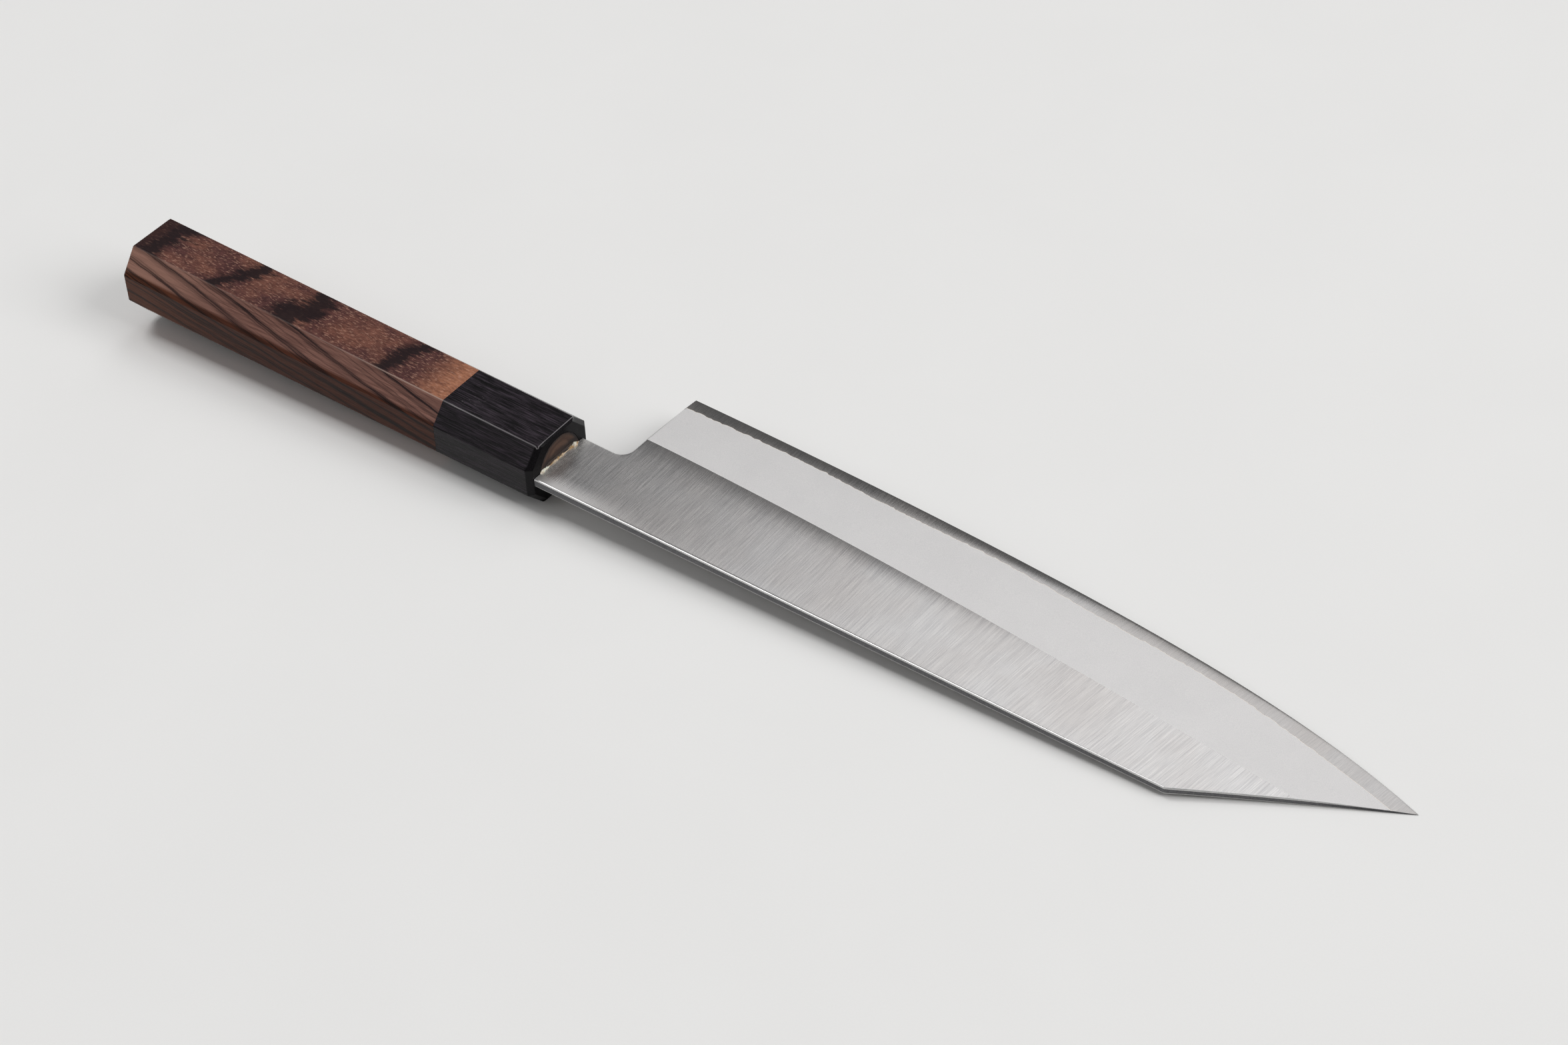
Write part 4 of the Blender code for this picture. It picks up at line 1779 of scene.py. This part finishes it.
@dataclass
class Glue:
    """The ragged bead of glue pressed out between the neck and the dowel. Sizes are in millimetres.

    Each blob has its place, how far it stands out and its half width. Ripples have a size as a
    share of the bead and a length.
    """

    blade: Blade
    low: float = -7.4
    high: float = 7.1
    fade_at_low: float = 0.15
    fade_at_high: float = 0.4
    stations: int = 240
    arc_steps: int = 8
    rest: float = 0.24
    least: float = 0.14
    flatness: float = 0.7
    sunk: float = 0.02
    foot: float = 0.05
    tail: float = 0.04
    back_share: float = 0.9
    side_row: float = 2.1
    height_row: float = 11.0
    ripple_row: float = 5.0
    ripples: tuple[Span, ...] = ((0.6, 0.8), (0.16, 0.36))
    blobs: tuple[tuple[float, float, float], ...] = (
        (5.3, 0.75, 1.05),
        (3.0, -0.2, 0.45),
        (0.9, 0.3, 0.7),
        (-1.6, 0.3, 0.75),
        (-3.5, -0.1, 0.6),
        (-4.9, 0.2, 0.55),
        (-6.4, 0.5, 0.8),
    )

    def reach(self, y: float, row: float) -> float:
        """How far the bead stands out at a place along it.

        Args:
            y: The place.
            row: Which line of noise is read.

        Returns:
            The reach.
        """
        total, wobble = self.rest, 1.0
        for at, size, width in self.blobs:
            total += size * math.exp(-(((y - at) / width) ** 2))
        for i, (size, length) in enumerate(self.ripples):
            wobble += size * ragged(y, length, row + self.ripple_row * i)
        ends = eased((self.high - y) / self.fade_at_high) * eased((y - self.low) / self.fade_at_low)
        return max(self.least, total * wobble * ends)

    def section(self, y: float, side: Side) -> list[Vector]:
        """The bead's section at y, from inside the joint over its rounded front.

        Args:
            y: Place along the bead.
            side: Which face.

        Returns:
            Its points in order.
        """
        row = self.side_row * side.value
        out, up = self.reach(y, row) * self.flatness, self.reach(y, row + self.height_row)
        base = self.blade.flat_z(out, y) - self.sunk
        arc = [(out * way.x, base + up * way.y) for way in turned_ways(0, 90, self.arc_steps)]
        under, over = base - self.foot, base + up * self.back_share
        points = [(-self.tail, under), (out / 2, under), *arc, (-self.tail, over)]
        return [Vector((x, y, z * side.value)) for x, z in points]

    def build(self) -> None:
        """Build and dress the bead on both faces."""
        bm = bmesh.new()
        for side in Side:
            loft(bm, [self.section(y, side) for y in spread(self.low, self.high, self.stations)])
        piece("glue_bead", bm, [DriedGlue().make()], crease=math.pi)


# The studio


def outward(azimuth: float, elevation: float) -> Vector:
    """The way to a place seen at an azimuth, counted from +X to +Y, and an elevation in degrees."""
    turn, lift = math.radians(azimuth), math.radians(elevation)
    return Vector((math.cos(turn) * math.cos(lift), math.sin(turn) * math.cos(lift), math.sin(lift)))


def facing(way: Vector, roll: float) -> Quaternion:
    """The turn of a lamp or camera that looks back along a way, rolled by so many degrees."""
    return (-way).to_track_quat("-Z", "Y") @ Quaternion((0.0, 0.0, 1.0), math.radians(roll))


def hang(name: str, data: bpy.types.ID, place: Vector, turn: Quaternion) -> bpy.types.Object:
    """Put a lamp or camera into the scene.

    Args:
        name: Its name.
        data: Its data.
        place: Where it hangs, in metres.
        turn: How it is turned.

    Returns:
        The object.
    """
    made = bpy.data.objects.new(name, data)
    made.location = place
    made.rotation_mode = "QUATERNION"
    made.rotation_quaternion = turn
    bpy.context.scene.collection.objects.link(made)
    return made


@dataclass(frozen=True)
class Softbox:
    """A flat rectangular lamp square to the line from its middle to the knife. Sizes are in metres."""

    name: str
    azimuth: float
    elevation: float
    distance: float
    radiance: float
    roll: float
    sides: tuple[float, float, float, float]

    def build(self) -> None:
        """Hang the lamp. Its left, right, bottom and top count from the line to the knife."""
        left, right, bottom, top = self.sides
        lamp = bpy.data.lights.new(self.name, "AREA")
        lamp.shape = "RECTANGLE"
        lamp.size, lamp.size_y = right - left, top - bottom
        lamp.energy = self.radiance * math.pi * lamp.size * lamp.size_y
        way = outward(self.azimuth, self.elevation)
        turn = facing(way, self.roll)
        middle = Vector(((left + right) / 2, (bottom + top) / 2, 0.0))
        hang(self.name, lamp, way * self.distance + turn @ middle, turn)


@dataclass
class Studio:
    """Camera, lamps, world and table. Lengths are in metres and angles in degrees."""

    aim: tuple[float, float, float] = (0.0079335, 0.0064878, 0.0)
    distance: float = 0.829566
    azimuth: float = -50.191
    elevation: float = 41.533
    roll: float = -4.866
    lens_mm: float = 80.235
    sensor_mm: float = 36.0
    world_level: float = 0.2
    table_size: float = 12.0
    boxes: tuple[Softbox, ...] = (
        Softbox("window", 128.27, 52.24, 3.0, 1.32, 105.98, (-0.537, 1.6, 0.194, 1.6)),
        Softbox("overhead", 178.0, 62.0, 3.2, 8.0, 0.0, (-0.6, 0.6, -0.6, 0.6)),
        Softbox("skylight", 12.0, 38.0, 3.2, 5.0, 0.0, (-0.9, 0.9, -0.9, 0.9)),
        Softbox("card", 226.0, 38.0, 3.0, 1.5, 0.0, (-0.8, 0.8, -0.5, 0.5)),
    )

    def camera(self) -> None:
        """Set the camera at the photograph's viewing angle."""
        data = bpy.data.cameras.new("camera")
        data.lens, data.sensor_width = self.lens_mm, self.sensor_mm
        back = outward(self.azimuth, self.elevation)
        place = Vector(self.aim) + back * self.distance
        bpy.context.scene.camera = hang("camera", data, place, facing(back, self.roll))

    def world(self) -> None:
        """Give the room its even grey light."""
        world = bpy.data.worlds.new("studio")
        world.use_nodes = True
        background = world.node_tree.nodes["Background"]
        background.inputs["Color"].default_value = (1.0, 1.0, 1.0, 1.0)
        background.inputs["Strength"].default_value = self.world_level
        bpy.context.scene.world = world

    def table(self) -> None:
        """Lay the pale table under the knife."""
        bm = bmesh.new()
        bmesh.ops.create_grid(bm, x_segments=1, y_segments=1, size=self.table_size / 2)
        mesh = bpy.data.meshes.new("table")
        bm.to_mesh(mesh)
        bm.free()
        mesh.materials.append(PaleTable().make())
        made = bpy.data.objects.new("table", mesh)
        bpy.context.scene.collection.objects.link(made)

    def build(self) -> None:
        """Set up the whole studio."""
        bpy.context.scene.view_settings.view_transform = "Standard"
        self.camera()
        self.world()
        self.table()
        for box in self.boxes:
            box.build()


def main() -> None:
    """Build the knife and its studio."""
    logging.basicConfig(level=logging.INFO, format="%(name)s: %(message)s")
    Studio().build()
    blade = Blade()
    blade.build()
    Handle().build()
    Glue(blade).build()


if __name__ == "__main__":
    main()
